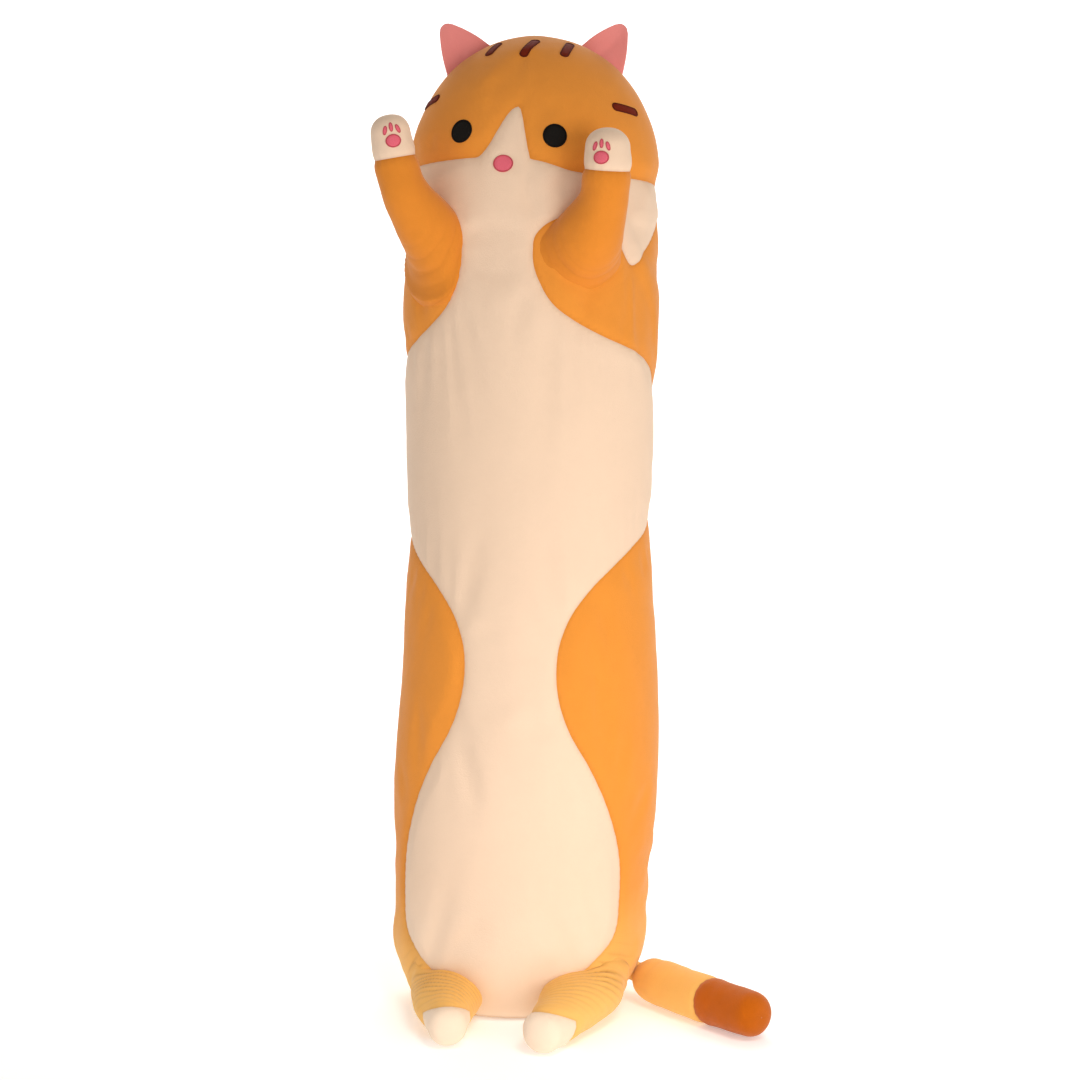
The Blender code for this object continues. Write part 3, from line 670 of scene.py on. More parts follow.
def tube_points(centres, directions, radii, sides, relief, shrink=0.0):
    """Rows of points round the rings, pressed flatter near the floor; relief adds height to the surface."""
    side = unit(np.cross(directions[0], (0.13, 0.21, 0.97)))
    rows, outward = [], []
    turns = np.linspace(0.0, 2.0 * math.pi, sides, endpoint=False)
    for centre, way, r in zip(centres, directions, radii):
        side = unit(side - way * (side @ way))
        other = np.cross(way, side)
        out = np.cos(turns)[:, None] * side + np.sin(turns)[:, None] * other
        wide = max(r - shrink, 0.0003)
        high = max(min(r, centre[2] - FLOOR_CLEARANCE) - shrink, 0.0003)
        flat = out * wide
        flat[:, 2] *= high / wide
        rows.append(centre + flat)
        outward.append(out)
    rows, outward = np.array(rows), np.array(outward)
    ring = np.repeat(np.arange(len(radii))[:, None], sides, axis=1)
    fade = np.clip(np.array(radii) / 0.012, 0.0, 1.0)[:, None]
    return rows + outward * (relief(rows, ring) * fade)[..., None]


def build_limb(name, end_name, stations, radii, hem, look):
    """Sleeve and end piece of a limb, sharing the hem seam."""
    centres, ways, r, share = limb_rings(stations, radii, LIMB_GRID)
    hem_ring = int(np.argmin(np.abs(share - hem)))
    centres, ways, r, share = add_tip(centres, ways, r, share, LIMB_GRID, look["blunt"])
    sides = int(2.0 * math.pi * LIMB_GIRTH_RADIUS / LIMB_GRID)
    middle, way = centres[hem_ring], ways[hem_ring]
    slope = math.radians(look["slope"])
    facing = unit(way * math.cos(slope) + np.array((0.0, 0.0, -1.0)) * math.sin(slope))

    def past_hem(rows):
        """Distance past the hem, towards the end of the limb; a sloping hem stops behind the toe."""
        front = (rows - middle) @ facing + look["rise"]
        return front if slope == 0.0 else np.minimum(front, (rows - middle) @ way + look["behind"])

    def folds_at(rows, ring):
        """Phase and strength of the creases round the root."""
        outside = depth_in_body(rows)
        toward = (rows - centres[ring]) @ np.array(look["fold_side"]) / np.maximum(r[ring], 0.004)
        phase = outside / look["fold_step"] + 0.45 * rough(rows, 26.0, look["seed"])
        strength = np.clip(0.35 + 0.65 * toward, 0.0, 1.0)
        strength *= np.clip(0.85 + 0.8 * rough(rows, 22.0, look["seed"] + 9.0), 0.4, 1.0)
        strength *= bell(np.maximum(outside - 0.004, 0.0), look["fold_reach"])
        strength *= np.clip(outside / 0.006 + 0.5, 0.0, 1.0)
        return phase, strength * np.clip(np.abs(past_hem(rows)) / 0.008, 0.0, 1.0)

    def relief(rows, ring):
        """Height of the sleeve above the plain limb: flare into the body, hem, creases and dents."""
        outside = depth_in_body(rows)
        flare = look["flare"] * np.exp(-np.maximum(outside, -0.006) / look["flare_reach"])
        dark_side = -in_cream(pattern_angle(rows), np.clip(rows[..., 2], 0.0, BODY_TOP - 0.001))
        flare = flare * np.clip(dark_side / 0.016, 0.0, 1.0)
        away = np.abs(past_hem(rows))
        seam = -HEM_DEPTH * bell(away, HEM_WIDTH) + HEM_PUFF * bell(away - HEM_PUFF_AWAY, HEM_PUFF_WIDTH)
        pull = np.sin(2.0 * np.pi * np.linspace(0.0, 1.0, sides, endpoint=False) * HEM_PULLS)
        seam = seam + HEM_PULL_HEIGHT * pull[None, :] * np.exp(-away / HEM_PULL_REACH)
        phase, strength = folds_at(rows, ring)
        folds = look["fold"] * strength * ridges(phase)
        lumps = DENT_HEIGHT * rough(rows, 34.0, look["seed"] + 5.0)
        lumps = lumps + FINE_DENT_HEIGHT * rough(rows, 90.0, look["seed"])
        return flare + seam + folds + lumps

    grid = tube_points(centres, ways, r, sides, relief)
    grid[..., 2] = np.maximum(grid[..., 2], LOWEST_CLOTH)
    points, faces = cut(grid.reshape(-1, 3), capped_tube(len(grid), sides), past_hem)
    nearest = np.array([int(np.argmin(((centres - p) ** 2).sum(axis=1))) for p in points])
    phase, strength = folds_at(points, nearest)
    marks = {"seam_line": bell(past_hem(points), HEM_LINE_WIDTH), "fold_phase": phase,
             "fold_strength": look["shade"] * strength * (past_hem(points) < 0.0)}
    sleeve = select(name, points, points, faces, ((past_hem, -1),), marks)
    end = select(end_name, points, points, faces, ((past_hem, 1),), marks)
    tree = tree_of((sleeve, end))
    thicken(sleeve, LIMB_CLOTH)
    thicken(end, LIMB_CLOTH)
    return sleeve, end, tree, (centres, ways, r, share)


FILL_SPACING = 0.008
FILL_SIDES = 20
FILL_INSET = 0.0048
BODY_FILL_INSET = 0.0065
BODY_FILL_SIDES = 48
FILL_LUMPS = 0.0006


def fill_lumps(rows, ring):
    """Small unevenness of a limb's filling, the same all along it."""
    return FILL_LUMPS * rough(rows, 60.0, 2.0)


def stuffing(name, stations, radii, inset, pivot_share):
    """Plain filling of a limb, seen only if the cloth is taken off."""
    centres, ways, r, share = limb_rings(stations, radii, FILL_SPACING)
    keep = share > pivot_share
    centres, ways, r, share = add_tip(centres[keep], ways[keep], r[keep], share[keep], FILL_SPACING)
    flip = add_tip(centres[:1], -ways[:1], r[:1], share[:1], FILL_SPACING)
    centres = np.vstack([flip[0][:0:-1], centres])
    ways = np.vstack([-flip[1][:0:-1], ways])
    r = np.concatenate([flip[2][:0:-1], r])
    grid = tube_points(centres, ways, r, FILL_SIDES, fill_lumps, inset)
    return mesh_object(name, grid.reshape(-1, 3), capped_tube(len(r), FILL_SIDES))


# fold_side is the side of a limb that creases; slope, in degrees, rise and behind place a sloping hem.
STRAIGHT_HEM = {"slope": 0.0, "rise": 0.0, "behind": 0.0}
SHORT_FLARE = {"flare": 0.0050, "flare_reach": 0.008}
ARM_LOOK = {**STRAIGHT_HEM, "flare": 0.0120, "flare_reach": 0.0110, "blunt": 2.2, "shade": 0.22,
            "fold": 0.0009, "fold_step": 0.0120, "fold_reach": 0.028, "fold_side": (0.0, 0.2, -0.98)}
LEG_LOOK = {"flare": 0.0070, "flare_reach": 0.0090, "blunt": 2.6, "shade": 1.0,
            "fold": 0.0022, "fold_step": 0.0085, "fold_reach": 0.055, "fold_side": (0.0, 0.2, 0.98),
            "slope": 64.0, "rise": 0.0160, "behind": 0.027}
TAIL_LOOK = {**STRAIGHT_HEM, "flare": 0.0, "flare_reach": 0.010, "blunt": 2.7, "shade": 0.08,
             "fold": 0.0005, "fold_step": 0.022, "fold_reach": 0.080, "fold_side": (0.0, 0.0, 1.0)}
# name: centreline, radii, hem, share where the filling starts, look, seed of its dents
LIMB_PLAN = {
    "arm_left": (ARM_LEFT, ARM_LEFT_RADII, 0.79, 0.30, {**ARM_LOOK, **SHORT_FLARE}, 1.0),
    "arm_right": (ARM_RIGHT, ARM_RIGHT_RADII, 0.84, 0.30, ARM_LOOK, 4.0),
    "leg_left": (LEG_LEFT, LEG_LEFT_RADII, 1.0, 0.32, LEG_LOOK, 2.0),
    "leg_right": (LEG_RIGHT, LEG_RIGHT_RADII, 1.0, 0.32, LEG_LOOK, 6.0),
    "tail": (TAIL, TAIL_RADII, 0.87, 0.19, TAIL_LOOK, 3.0),
}
LIMBS, FILL = {}, {}
for name, (stations, radii, hem, fill_from, look, seed) in LIMB_PLAN.items():
    LIMBS[name] = build_limb("sleeve_" + name, "end_" + name, stations, radii, hem, {**look, "seed": seed})
    FILL[name] = stuffing("fill_" + name, stations, radii, FILL_INSET, fill_from)


def body_stuffing(name, inset):
    """The body's filling as one soft closed form under the panels."""
    dome = BODY_TOP - DOME_HEIGHT + DOME_HEIGHT * np.sin(np.radians([12, 24, 36, 48, 60, 72, 82]))
    z = np.concatenate([[0.0, 0.012, 0.035], np.linspace(0.07, BODY_TOP - DOME_HEIGHT, 44), dome])
    angles = np.linspace(-180.0, 180.0, BODY_FILL_SIDES, endpoint=False)
    grid = np.array([(a, h) for h in z for a in angles])
    world = place_skin(grid, inset, relief=False)
    world[:, 2] = np.maximum(world[:, 2], inset)
    return mesh_object(name, world, capped_tube(len(z), BODY_FILL_SIDES))


fill_body = body_stuffing("fill_body", BODY_FILL_INSET)


# ---------------------------------------------------------------- ears
def ear_shape(base_a, base_b, tip):
    """Middle of the base, directions across, up and forward, half width, height and lean of the tip."""
    base_a, base_b, tip = np.array(base_a), np.array(base_b), np.array(tip)
    middle = 0.5 * (base_a + base_b)
    across = unit(base_b - base_a)
    up = tip - middle
    lean = float(up @ across)
    up = unit(up - across * lean)
    front = np.cross(up, across)
    if front[1] > 0.0:
        front = -front
    half = 0.5 * float(np.linalg.norm(base_b - base_a))
    return middle, across, up, front, half, float((tip - middle) @ up), lean


EAR_TIP_ROUND = 0.0085
EAR_BULGE = 0.0022
EAR_PLUMP_FRONT, EAR_PLUMP_REAR = 0.0034, 0.0048
EAR_DISH, EAR_BOW, EAR_DENTS = 0.0022, 0.0030, 0.0005
EAR_FOLD_DEPTH, EAR_FOLD_WIDTH = 0.0018, 0.0035
EAR_BASE_SPAN = 0.014
EAR_CLOTH = 0.0012
EAR_ROOT = 0.008


def ear_width(level, half, height):
    """Half width of an ear at a level: straight sides that run tangent into a round tip."""
    slope = math.atan((half - EAR_TIP_ROUND) / (height - EAR_TIP_ROUND))
    for _ in range(8):
        slope = math.atan((half - EAR_TIP_ROUND * math.cos(slope))
                          / (height - EAR_TIP_ROUND * (1.0 - math.sin(slope))))
    reach = height - level
    if reach < EAR_TIP_ROUND * (1.0 - math.sin(slope)):
        return math.sqrt(max(EAR_TIP_ROUND**2 - (EAR_TIP_ROUND - reach) ** 2, 0.0))
    past_round = reach - EAR_TIP_ROUND * (1.0 - math.sin(slope))
    straight = EAR_TIP_ROUND * math.cos(slope) + past_round * math.tan(slope)
    share = min(max(level / height, 0.0), 1.0)
    return straight + EAR_BULGE * math.sin(math.pi * share)


def ear_layer(name, shape, sign):
    """One cloth of an ear: padded in the middle, pressed flat at the sewn edge, round at the tip."""
    middle, across, up, front, half, height, lean = shape
    rows = 32
    columns = 24
    grid = []
    for i in range(rows):
        t = i / rows
        level = -EAR_ROOT + (t if t < 0.5 else 1.0 - 2.0 * (1.0 - t) ** 2) * (height + EAR_ROOT)
        share = min(max(level / height, 0.0), 1.0)
        width = ear_width(level, half, height)
        for j in range(columns + 1):
            s = -math.cos(math.pi * j / columns)
            inner = max(1.0 - s * s, 0.0) * (1.0 - share**4)
            rise = min(max(level, 0.0) / EAR_BASE_SPAN, 1.0)
            plump = (EAR_PLUMP_FRONT if sign > 0 else EAR_PLUMP_REAR) * math.sqrt(inner)
            dish = EAR_DISH * inner * rise
            bow = EAR_BOW * s * s * rise * (1.0 - share**6)
            spot = middle + up * level + across * (lean * share + s * width)
            push = sign * (0.0003 + plump) + bow - dish
            if sign > 0:
                fold = (s + 0.20 - 0.45 * share) * width
                depth = EAR_FOLD_DEPTH * math.exp(-(fold / EAR_FOLD_WIDTH) ** 2)
                push -= depth * max(1.0 - 1.3 * share, 0.0)
            push += EAR_DENTS * noise.noise(Vector(spot * 60.0)) * inner
            grid.append(spot + front * push)
    wide = columns + 1
    faces = sheet_faces(rows, columns)
    top = len(grid)
    grid.append(middle + up * height + across * lean + front * sign * 0.0003)
    last = (rows - 1) * wide
    faces += [(last + j, last + j + 1, top) for j in range(columns)]
    normal = np.cross(grid[1] - grid[0], grid[wide] - grid[0])
    if float(normal @ front) * sign < 0.0:
        faces = [f[::-1] for f in faces]
    return thicken(mesh_object(name, grid, faces), EAR_CLOTH)


# Each ear: the two ends of its base, then its tip.
EAR_LEFT = ((0.0600, -0.0100, 1.0680), (0.1045, -0.0120, 1.0350), (0.1065, -0.0120, 1.0895))
EAR_RIGHT = ((-0.0890, -0.0110, 1.0345), (-0.0425, -0.0090, 1.0685), (-0.0935, -0.0110, 1.0900))
EARS = {}
for side, corners in (("left", EAR_LEFT), ("right", EAR_RIGHT)):
    shape = ear_shape(*corners)
    front = ear_layer("ear_front_" + side, shape, 1.0)
    EARS[side] = (front, ear_layer("ear_rear_" + side, shape, -1.0), shape)


# ---------------------------------------------------------------- embroidery
def frame_at(angle, z):
    """Point on the body form, its outward direction and the direction across."""
    a, h = np.array([angle]), np.array([z])
    point = body_point(a, h)[0]
    normal = body_normal(a, h)[0]
    across = unit(body_point(a + 0.5, h) - body_point(a - 0.5, h))[0]
    return Vector(point), Vector(normal), Vector(across)


def outline(u, half_long, half_wide, bar):
    """Outline of an oval, or of a round-ended bar walked at an even pace, at turn u."""
    if not bar:
        return math.cos(u) * half_long, math.sin(u) * half_wide
    straight, bend = 2.0 * (half_long - half_wide), math.pi * half_wide
    walked = (u / math.pi) * (straight + bend) % (2.0 * (straight + bend))
    side = 1.0 if walked < straight + bend else -1.0
    walked = walked % (straight + bend)
    if walked < straight:
        return side * (0.5 * straight - walked), side * half_wide
    turn = (walked - straight) / half_wide
    return -side * (0.5 * straight + half_wide * math.sin(turn)), side * half_wide * math.cos(turn)


def on_surface(tree, at, turn, x, y, height):
    """Point on the cloth at x, y from a patch's middle, in the patch's own turned directions."""
    centre, normal, across = at
    up = normal.cross(across)
    c, s = math.cos(turn), math.sin(turn)
    spot = centre + across * (x * c - y * s) + up * (x * s + y * c)
    hit, _, _, _ = tree.ray_cast(spot + normal * 0.03, -normal)
    return hit + normal * height


PATCH_RINGS = (0.12, 0.3, 0.5, 0.68, 0.82, 0.92, 0.98, 1.0)
PATCH_THICKNESS = 0.0009
EDGE_SINK = 0.0007


def satin(name, tree, at, size, turn=0.0, bar=False, height=0.0011):
    """Raised satin-stitch patch that lies on the cloth, its edge sunk into it."""
    turn = math.radians(turn)
    sides = 56
    points = [on_surface(tree, at, turn, 0.0, 0.0, height)]
    faces = []
    for ring in PATCH_RINGS:
        lift = height * (1.0 - ring**7) - (EDGE_SINK if ring == 1.0 else 0.0)
        for k in range(sides):
            x, y = outline(2.0 * math.pi * k / sides, size[0], size[1], bar)
            points.append(on_surface(tree, at, turn, x * ring, y * ring, lift))
    for k in range(sides):
        faces.append((0, 1 + (k + 1) % sides, 1 + k))
    faces += tube_faces(len(PATCH_RINGS), sides, 1)
    obj = mesh_object(name, points, faces)
    if obj.data.polygons[0].normal.dot(at[1]) < 0.0:
        obj.data.flip_normals()
    return thicken(obj, PATCH_THICKNESS)


def satin_edge(name, tree, at, size, turn=0.0, bar=False, thick=0.0007, lift=0.0004):
    """Cord-like line of stitches round a patch."""
    turn = math.radians(turn)
    sides, round_count = ((80, 8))
    path = []
    for k in range(sides):
        x, y = outline(2.0 * math.pi * k / sides, size[0], size[1], bar)
        path.append(np.array(on_surface(tree, at, turn, x, y, lift)))
    path = np.array(path)
    along = unit(np.roll(path, -1, axis=0) - np.roll(path, 1, axis=0))
    out = unit(np.cross(along, np.array(at[1])))
    up = np.cross(out, along)
    points, faces = [], []
    for k in range(sides):
        twist = 1.0 + 0.10 * math.sin(k * 2.4)
        for m in range(round_count):
            a = 2.0 * math.pi * m / round_count
            points.append(path[k] + thick * twist * (math.cos(a) * out[k] + math.sin(a) * up[k]))
    for k in range(sides):
        for m in range(round_count):
            n, j = (m + 1) % round_count, (k + 1) % sides
            own, after = k * round_count, j * round_count
            faces.append((own + m, own + n, after + n, after + m))
    obj = mesh_object(name, points, faces)
    face = obj.data.polygons[0]
    if face.normal.dot(face.center - Vector(path[0])) < 0.0:
        obj.data.flip_normals()
    return obj


EYE_HALF = 0.0122
STRIPE_HALF_WIDTH = 0.0044
# name: pattern angle and height, half length and half width, turn in degrees, round-ended bar or oval
FACE = {
    "eye_right": ((-19.0, 0.9602), (EYE_HALF, EYE_HALF), 0.0, False),
    "eye_left": ((25.3, 0.9524), (EYE_HALF, EYE_HALF), 0.0, False),
    "nose": ((2.5, 0.9236), (0.0099, 0.0087), 0.0, False),
    "stripe_crown_right": ((-24.5, 1.0580), (0.0145, STRIPE_HALF_WIDTH), 92.0, True),
    "stripe_crown_middle": ((11.0, 1.0565), (0.0190, STRIPE_HALF_WIDTH), 68.0, True),
    "stripe_crown_left": ((43.5, 1.0555), (0.0185, STRIPE_HALF_WIDTH), 57.0, True),
    "stripe_temple_left": ((66.8, 0.9880), (0.0190, STRIPE_HALF_WIDTH), -5.0, True),
    "stripe_temple_right": ((-55.0, 1.0020), (0.0180, STRIPE_HALF_WIDTH), 9.0, True),
}
STITCHED = {}
for name, ((angle, z), size, turn, bar) in FACE.items():
    at = frame_at(angle, z)
    patch = satin("satin_" + name, SKIN_TREE, at, size, turn, bar)
    edge = satin_edge("edge_" + name, SKIN_TREE, at, size, turn, bar)
    STITCHED[name] = (patch, edge)

PALM_HALF = (0.0075, 0.0062)
PALM_BACK = 0.4
BEAN_HALF = (0.0044, 0.0017)
# name, place across and along the paw, turn in degrees
BEANS = (("outer", -0.0068, 0.0116, 72.0), ("middle", 0.0, 0.0142, 90.0), ("inner", 0.0068, 0.0116, 108.0))
PADS = {"left": [], "right": []}
for side, facing, aside in (("left", (-0.10, -1.0, 0.0), -0.0048), ("right", (0.06, -1.0, 0.0), 0.0010)):
    _, _, tree, (centres, ways, r, share) = LIMBS["arm_" + side]
    tip = int(np.argmin(np.abs(share - 1.0)))
    way = ways[tip]
    normal = unit(np.array(facing) - way * (np.array(facing) @ way))
    across = np.cross(way, normal)
    palm = centres[tip] - way * PALM_BACK * r[tip] + across * aside
    at = (Vector(palm), Vector(normal), Vector(across))
    PADS[side].append((satin("satin_palm_" + side, tree, at, PALM_HALF, height=0.0012),
                       satin_edge("edge_palm_" + side, tree, at, PALM_HALF)))
    for bean, u, v, lean in BEANS:
        spot = Vector(palm + across * u + way * v)
        at = (spot, Vector(normal), Vector(across))
        label = "bean_" + bean + "_" + side
        PADS[side].append((satin("satin_" + label, tree, at, BEAN_HALF, lean, height=0.0009),
                           satin_edge("edge_" + label, tree, at, BEAN_HALF, lean, thick=0.0005)))


# ---------------------------------------------------------------- materials
def colour(red, green, blue):
    """Linear colour from display values of 0 to 255."""
    def linear(v):
        """One channel, by the standard display curve."""
        v /= 255.0
        return v / 12.92 if v <= 0.04045 else ((v + 0.055) / 1.055) ** 2.4
    return (linear(red), linear(green), linear(blue), 1.0)


# Painted shade along seams and creases: the seam lines' strength, the crease lines' sharpness and the
# darkening tint.
SEAM_SHADE = 0.26
CREASE_SHARPNESS = 2.2
CREASE_SHADE_TINT = (0.50, 0.34, 0.24, 1.0)
# Painted light: between these heights the cloth is painted paler towards the floor.
PAINTED_LIGHT_TOP, PAINTED_LIGHT_END = 0.17, 0.01


def shaded(tint, share):
    """A colour made darker or paler by a share, no paler than white."""
    return tuple(min(c * share, 1.0) for c in tint[:3]) + (1.0,)


def fill_inputs(tree, node, inputs):
    """Set each input of a node to a value, or link it to another node's output."""
    for name, value in inputs.items():
        if isinstance(value, bpy.types.NodeSocket):
            tree.links.new(value, node.inputs[name])
        else:
            node.inputs[name].default_value = value


def add_node(tree, kind, output, inputs, **settings):
    """Named output of a new shader node with these inputs and settings."""
    node = tree.nodes.new("ShaderNode" + kind)
    for name, value in settings.items():
        setattr(node, name, value)
    fill_inputs(tree, node, inputs)
    return node.outputs[output]


def arithmetic(tree, operation, *values):
    """One arithmetic step between sockets or plain numbers."""
    return add_node(tree, "Math", "Value", dict(enumerate(values)), operation=operation)


def mixed(tree, factor, first, second, way="MIX"):
    """Colour between two colours."""
    inputs = {"Factor": factor, "A": first, "B": second}
    return add_node(tree, "Mix", "Result", inputs, data_type="RGBA", blend_type=way)


def bumped(tree, height, strength, distance, under=None, invert=False):
    """Surface direction with a relief on top of the one under it."""
    inputs = {"Height": height, "Strength": strength, "Distance": distance}
    if under is not None:
        inputs["Normal"] = under
    return add_node(tree, "Bump", "Normal", inputs, invert=invert)


def new_material(name, inputs):
    """Material whose shader has these values on its own sockets; its node tree and its shader."""
    mat = bpy.data.materials.new(name)
    mat.use_nodes = True
    shader = mat.node_tree.nodes["Principled BSDF"]
    fill_inputs(mat.node_tree, shader, inputs)
    return mat, mat.node_tree, shader


def painted_light_at_foot(tree, place, above, below):
    """Painted light: colour that turns from one tint to a paler one over the lowest part of the toy,
    standing in for brighter light near the floor.
    """
    level = add_node(tree, "SeparateXYZ", "Z", {"Vector": place})
    span = {"From Min": PAINTED_LIGHT_TOP, "From Max": PAINTED_LIGHT_END, "Value": level}
    share = add_node(tree, "MapRange", "Result", span, interpolation_type="SMOOTHSTEP")
    return mixed(tree, share, above, below)


def crease_lines(tree):
    """Painted shade: thin dark lines along the creases and the seams, from the marks stored at the
    vertices.
    """
    phase, strength, seam = (add_node(tree, "Attribute", "Fac", {}, attribute_name=label)
                             for label in ("fold_phase", "fold_strength", "seam_line"))
    wave = arithmetic(tree, "SINE", arithmetic(tree, "MULTIPLY", phase, math.pi))
    valley = arithmetic(tree, "SUBTRACT", 1.0, arithmetic(tree, "ABSOLUTE", wave))
    thin = arithmetic(tree, "MULTIPLY", arithmetic(tree, "POWER", valley, CREASE_SHARPNESS), strength)
    return arithmetic(tree, "MAXIMUM", thin, arithmetic(tree, "MULTIPLY", seam, SEAM_SHADE))


def cloth_noise(tree, place, scale, detail, **more):
    """Smooth noise over the toy, in its own coordinates."""
    return add_node(tree, "TexNoise", "Fac", {"Vector": place, "Scale": scale, "Detail": detail, **more})


def velour(name, tint, depth=0.10, sheen=0.25, nap=0.5, foot=None):
    """Short pile cloth: blotches where the pile leans, fine fibre grain and a soft sheen; painted light
    pales it near the floor when a foot colour is given, and painted shade darkens its creases and seams.
    """
    mat, tree, shader = new_material(name, {
        "Roughness": 0.92, "Specular IOR Level": 0.15, "Sheen Weight": sheen, "Sheen Roughness": 0.45,
        "Sheen Tint": (1.0, 0.93, 0.84, 1.0)})
    place = add_node(tree, "TexCoord", "Object", {})
    blotch = cloth_noise(tree, place, 9.0, 3.0, Roughness=0.55)
    lean = cloth_noise(tree, place, 70.0, 4.0)
    fibre = cloth_noise(tree, place, 850.0, 2.0)
    pile = arithmetic(tree, "MULTIPLY", blotch, 0.38)
    pile = arithmetic(tree, "MULTIPLY_ADD", lean, 0.30, pile)
    pile = arithmetic(tree, "MULTIPLY_ADD", fibre, 0.35, pile)
    shades = [shaded(tint, share) for share in (1.0 - depth, 1.0 + depth)]
    # Painted light: a foot colour makes the cloth paler near the floor.
    if foot:
        low = [shaded(foot, share) for share in (1.0 - depth, 1.0 + depth)]
        shades = [painted_light_at_foot(tree, place, *pair) for pair in zip(shades, low)]
    crease = crease_lines(tree)
    # Painted shade: the colour is darkened along creases and seams.
    painted_crease_shade = mixed(tree, crease, mixed(tree, pile, *shades), CREASE_SHADE_TINT, "MULTIPLY")
    normal = bumped(tree, fibre, nap, 0.0006)
    normal = bumped(tree, lean, 0.35, 0.0010, normal)
    normal = bumped(tree, crease, 0.8, 0.0012, normal, invert=True)
    fill_inputs(tree, shader, {"Base Color": painted_crease_shade, "Normal": normal})
    return mat


def thread(name, tint, roughness=0.45, direction=0.6):
    """Satin stitches: close parallel threads with a soft gloss."""
    mat, tree, shader = new_material(name, {"Roughness": roughness, "Specular IOR Level": 0.15})
    place = add_node(tree, "TexCoord", "Object", {})
    turned = add_node(tree, "Mapping", "Vector", {"Vector": place, "Rotation": (0.0, direction, 0.0)})
    stitches = {"Vector": turned, "Scale": 430.0, "Distortion": 1.2, "Detail": 2.0}
    wave = add_node(tree, "TexWave", "Fac", stitches, bands_direction="Z")
    tinted = mixed(tree, wave, shaded(tint, 0.78), shaded(tint, 1.12))
    fill_inputs(tree, shader, {"Base Color": tinted, "Normal": bumped(tree, wave, 0.5, 0.0003)})
    return mat


ORANGE = colour(237, 150, 58)
# Painted light: a paler copy of the orange for the lowest part of the toy.
ORANGE_PAINTED_LIT = colour(252, 194, 108)
# Painted shade: a darker copy of the same orange, for the arm sleeves.
PAINTED_SHADE_ORANGE = colour(226, 138, 47)
CREAM = colour(243, 214, 188)
# Painted light: a paler copy of the cream for the lowest part of the toy.
CREAM_PAINTED_LIT = colour(250, 226, 202)
RUST = colour(187, 92, 3)
PINK = colour(240, 146, 142)
MATERIALS = {
    "orange": velour("velour_orange", ORANGE, foot=ORANGE_PAINTED_LIT),
    "orange_painted_shade": velour("velour_orange_deep", PAINTED_SHADE_ORANGE),
    "cream": velour("velour_cream", CREAM, depth=0.05, foot=CREAM_PAINTED_LIT),
    "rust": velour("velour_rust", RUST, depth=0.34, nap=0.8),
    "pink": velour("felt_pink", PINK, depth=0.07, sheen=0.35),
    "fibre": velour("polyester_fibre", (0.82, 0.81, 0.78, 1.0), depth=0.12, sheen=0.1, nap=1.0),
    "black": thread("thread_black", colour(18, 14, 10), 0.6),
    "rose": thread("thread_rose", colour(244, 112, 132)),
    "rose_dark": thread("thread_rose_dark", colour(206, 84, 96)),
    "brown": thread("thread_brown", colour(122, 34, 8), 0.7, 1.1),
    "brown_dark": thread("thread_brown_dark", colour(92, 26, 8), 0.7, 1.1),
}


def dress(obj, key):
    """Give a piece its one material."""
    obj.data.materials.clear()
    obj.data.materials.append(MATERIALS[key])


for obj, key in ((belly, "cream"), (side_left, "orange"), (side_right, "orange"), (crown, "orange"),
                 (base, "orange"), (fill_body, "fibre")):
    dress(obj, key)
for name, (sleeve, end, _, _) in LIMBS.items():
    # Painted shade: the arm sleeves take the darker copy of the orange.
    dress(sleeve, "orange_painted_shade" if name.startswith("arm") else "orange")
    dress(end, "rust" if name == "tail" else "cream")
    dress(FILL[name], "fibre")
for front, rear, _ in EARS.values():
    dress(front, "pink")
    dress(rear, "orange")
for name, (patch, edge) in STITCHED.items():
    kind = "black" if name.startswith("eye") else "rose" if name == "nose" else "brown"
    dress(patch, kind)
    dress(edge, kind if kind == "black" else kind + "_dark")
for pads in PADS.values():
    for patch, edge in pads:
        dress(patch, "rose")
        dress(edge, "rose_dark")

# ---------------------------------------------------------------- what moves with what
for obj in (belly, side_left, side_right, fill_body):
    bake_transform(obj)
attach(crown, "chest")
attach(base, "hips")
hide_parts("belly_panel")
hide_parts("side_left_panel")
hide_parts("side_right_panel")
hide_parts("filling_lower", "filling_upper")
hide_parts("crown_panel")
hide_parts("base_panel")
for name, (patch, edge) in STITCHED.items():
    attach(patch, "chest")
    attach(edge, "chest")
    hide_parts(name)


def along(rings, low, high):
    """Points on a limb's centreline at two shares of its length."""
    centres, _, _, share = rings
    return tuple(tuple(centres[int(np.argmin(np.abs(share - level)))]) for level in (low, high))


# Each limb: sleeve and filling stay where they are, the end piece rides on the limb's own body, and the
# part's pieces they stand for are hidden.
for name, (sleeve, end, _, rings) in LIMBS.items():
    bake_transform(sleeve)
    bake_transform(FILL[name])
    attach(end, name)
    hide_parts(name + "_sleeve")
    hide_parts({"arm": name + "_paw", "leg": name + "_toe", "tai": "tail_tip"}[name[:3]])
    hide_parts(name + "_filling")
for side, pads in PADS.items():
    names = ["palm_pad", "bean_outer", "bean_middle", "bean_inner"]
    for (patch, edge), node in zip(pads, names):
        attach(patch, "arm_" + side)
        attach(edge, "arm_" + side)
        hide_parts("arm_" + side + "_" + node)
for side, (front, rear, shape) in EARS.items():
    for obj, node in ((front, "front"), (rear, "back")):
        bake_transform(obj)
        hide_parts("ear_" + side + "_" + node)


# ---------------------------------------------------------------- floor, light and camera
def paper(name, value, glow):
    """Matt pale paper that glows a little, so that floor and backdrop stay white."""
    mat, _, _ = new_material(name, {
        "Base Color": (value, value, value, 1.0), "Roughness": 0.9,
        "Emission Color": (1.0, 0.99, 0.98, 1.0), "Emission Strength": glow})
    return mat


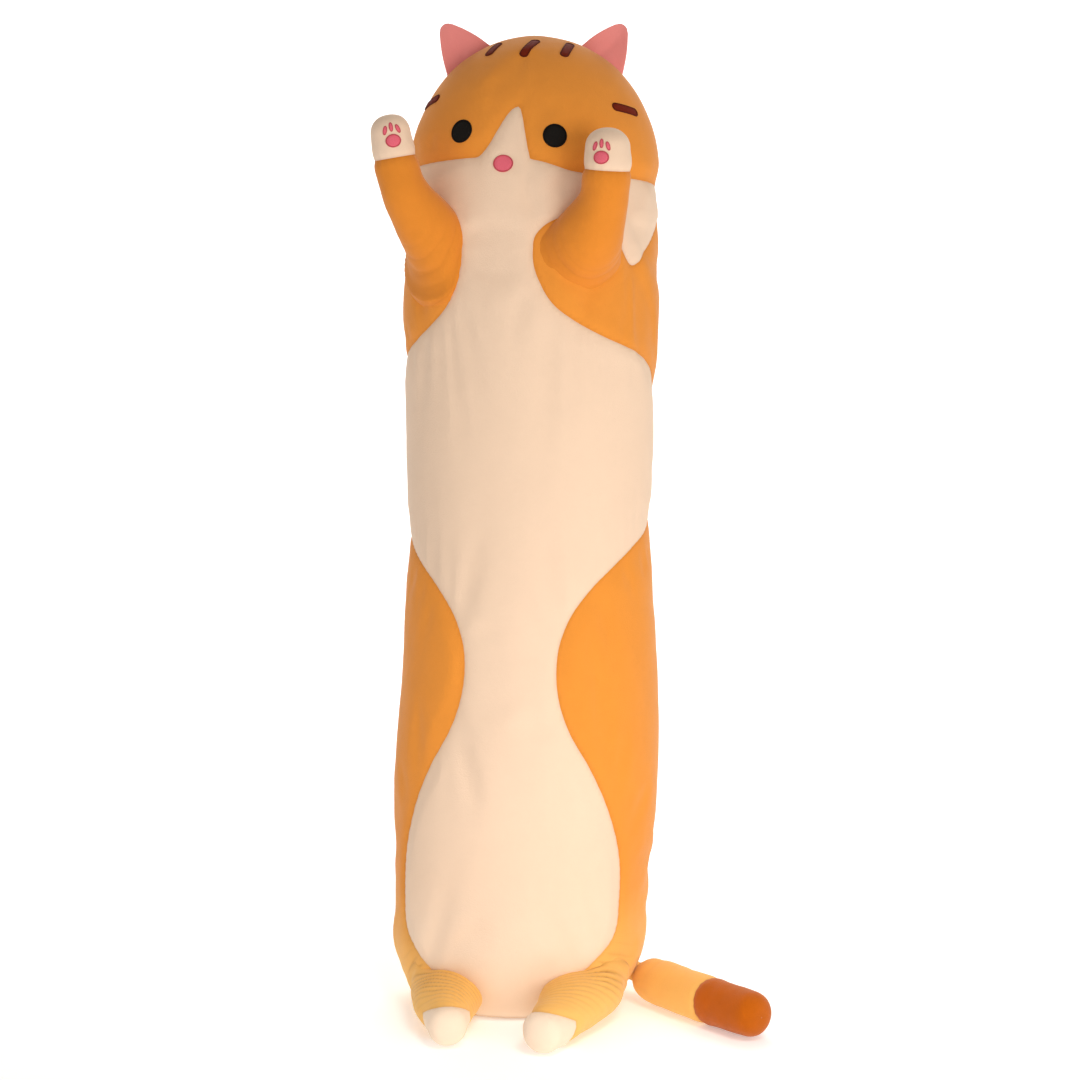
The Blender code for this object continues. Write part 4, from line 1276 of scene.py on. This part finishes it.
def sweep_floor():
    """Pale floor that curves up into a backdrop."""
    turns = np.linspace(0.0, math.pi / 2.0, 16)
    radius, back, front, half = 1.2, 2.2, -4.5, 6.0
    line = [(front, 0.0), (back, 0.0)]
    line += [(back + radius * math.sin(t), radius * (1.0 - math.cos(t))) for t in turns[1:]]
    line.append((back + radius, 5.5))
    points = [(x, y, z) for y, z in line for x in (-half, half)]
    faces = [(2 * i, 2 * i + 1, 2 * i + 3, 2 * i + 2) for i in range(len(line) - 1)]
    floor = mesh_object("floor", points, faces)
    floor.data.materials.append(paper("floor_paper", 0.90, 0.34))
    return floor


def area(name, place, target, size, power, tint, spread=180.0):
    """Square soft light that faces its target; spread in degrees."""
    light = bpy.data.lights.new(name, "AREA")
    light.shape = "SQUARE"
    light.spread = math.radians(spread)
    light.size = size
    light.energy = power
    light.color = tint
    obj = bpy.data.objects.new(name, light)
    obj.location = place
    obj.rotation_euler = (Vector(target) - Vector(place)).to_track_quat("-Z", "Y").to_euler()
    bpy.context.scene.collection.objects.link(obj)


floor = sweep_floor()
area("key", (1.60, -2.25, 0.45), (0.0, 0.0, 0.30), 1.1, 17.0, (1.0, 0.93, 0.84))
area("low", (0.60, -1.60, 0.55), (0.05, -0.1, 0.0), 0.7, 4.0, (1.0, 0.95, 0.87))
area("feet", (0.35, -1.00, 1.30), (0.06, -0.15, 0.0), 0.5, 0.42, (1.0, 0.95, 0.90), 36.0)
area("fill", (-1.8, -2.6, 0.9), (0.0, 0.0, 0.5), 1.6, 3.0, (1.0, 0.95, 0.90))
area("back", (0.0, 1.9, 3.0), (0.0, 3.2, 0.6), 2.0, 60.0, (1.0, 0.99, 0.98))
sky = bpy.data.worlds.new("studio")
sky.use_nodes = True
sky_light = {"Color": (1.0, 0.96, 0.91, 1.0), "Strength": 0.40}
fill_inputs(sky.node_tree, sky.node_tree.nodes["Background"], sky_light)
bpy.context.scene.world = sky
bpy.context.scene.view_settings.view_transform = "Standard"

CAMERA_PLACE = (0.01345, -2.2, 0.62)
CAMERA_TILT = -0.0452
LENS = 65.4
camera = bpy.data.cameras.new("camera")
camera.lens = LENS
camera.sensor_width = 36.0
view = bpy.data.objects.new("camera", camera)
view.location = CAMERA_PLACE
view.rotation_euler = (math.pi / 2.0 + CAMERA_TILT, 0.0, 0.0)
bpy.context.scene.collection.objects.link(view)
bpy.context.scene.camera = view
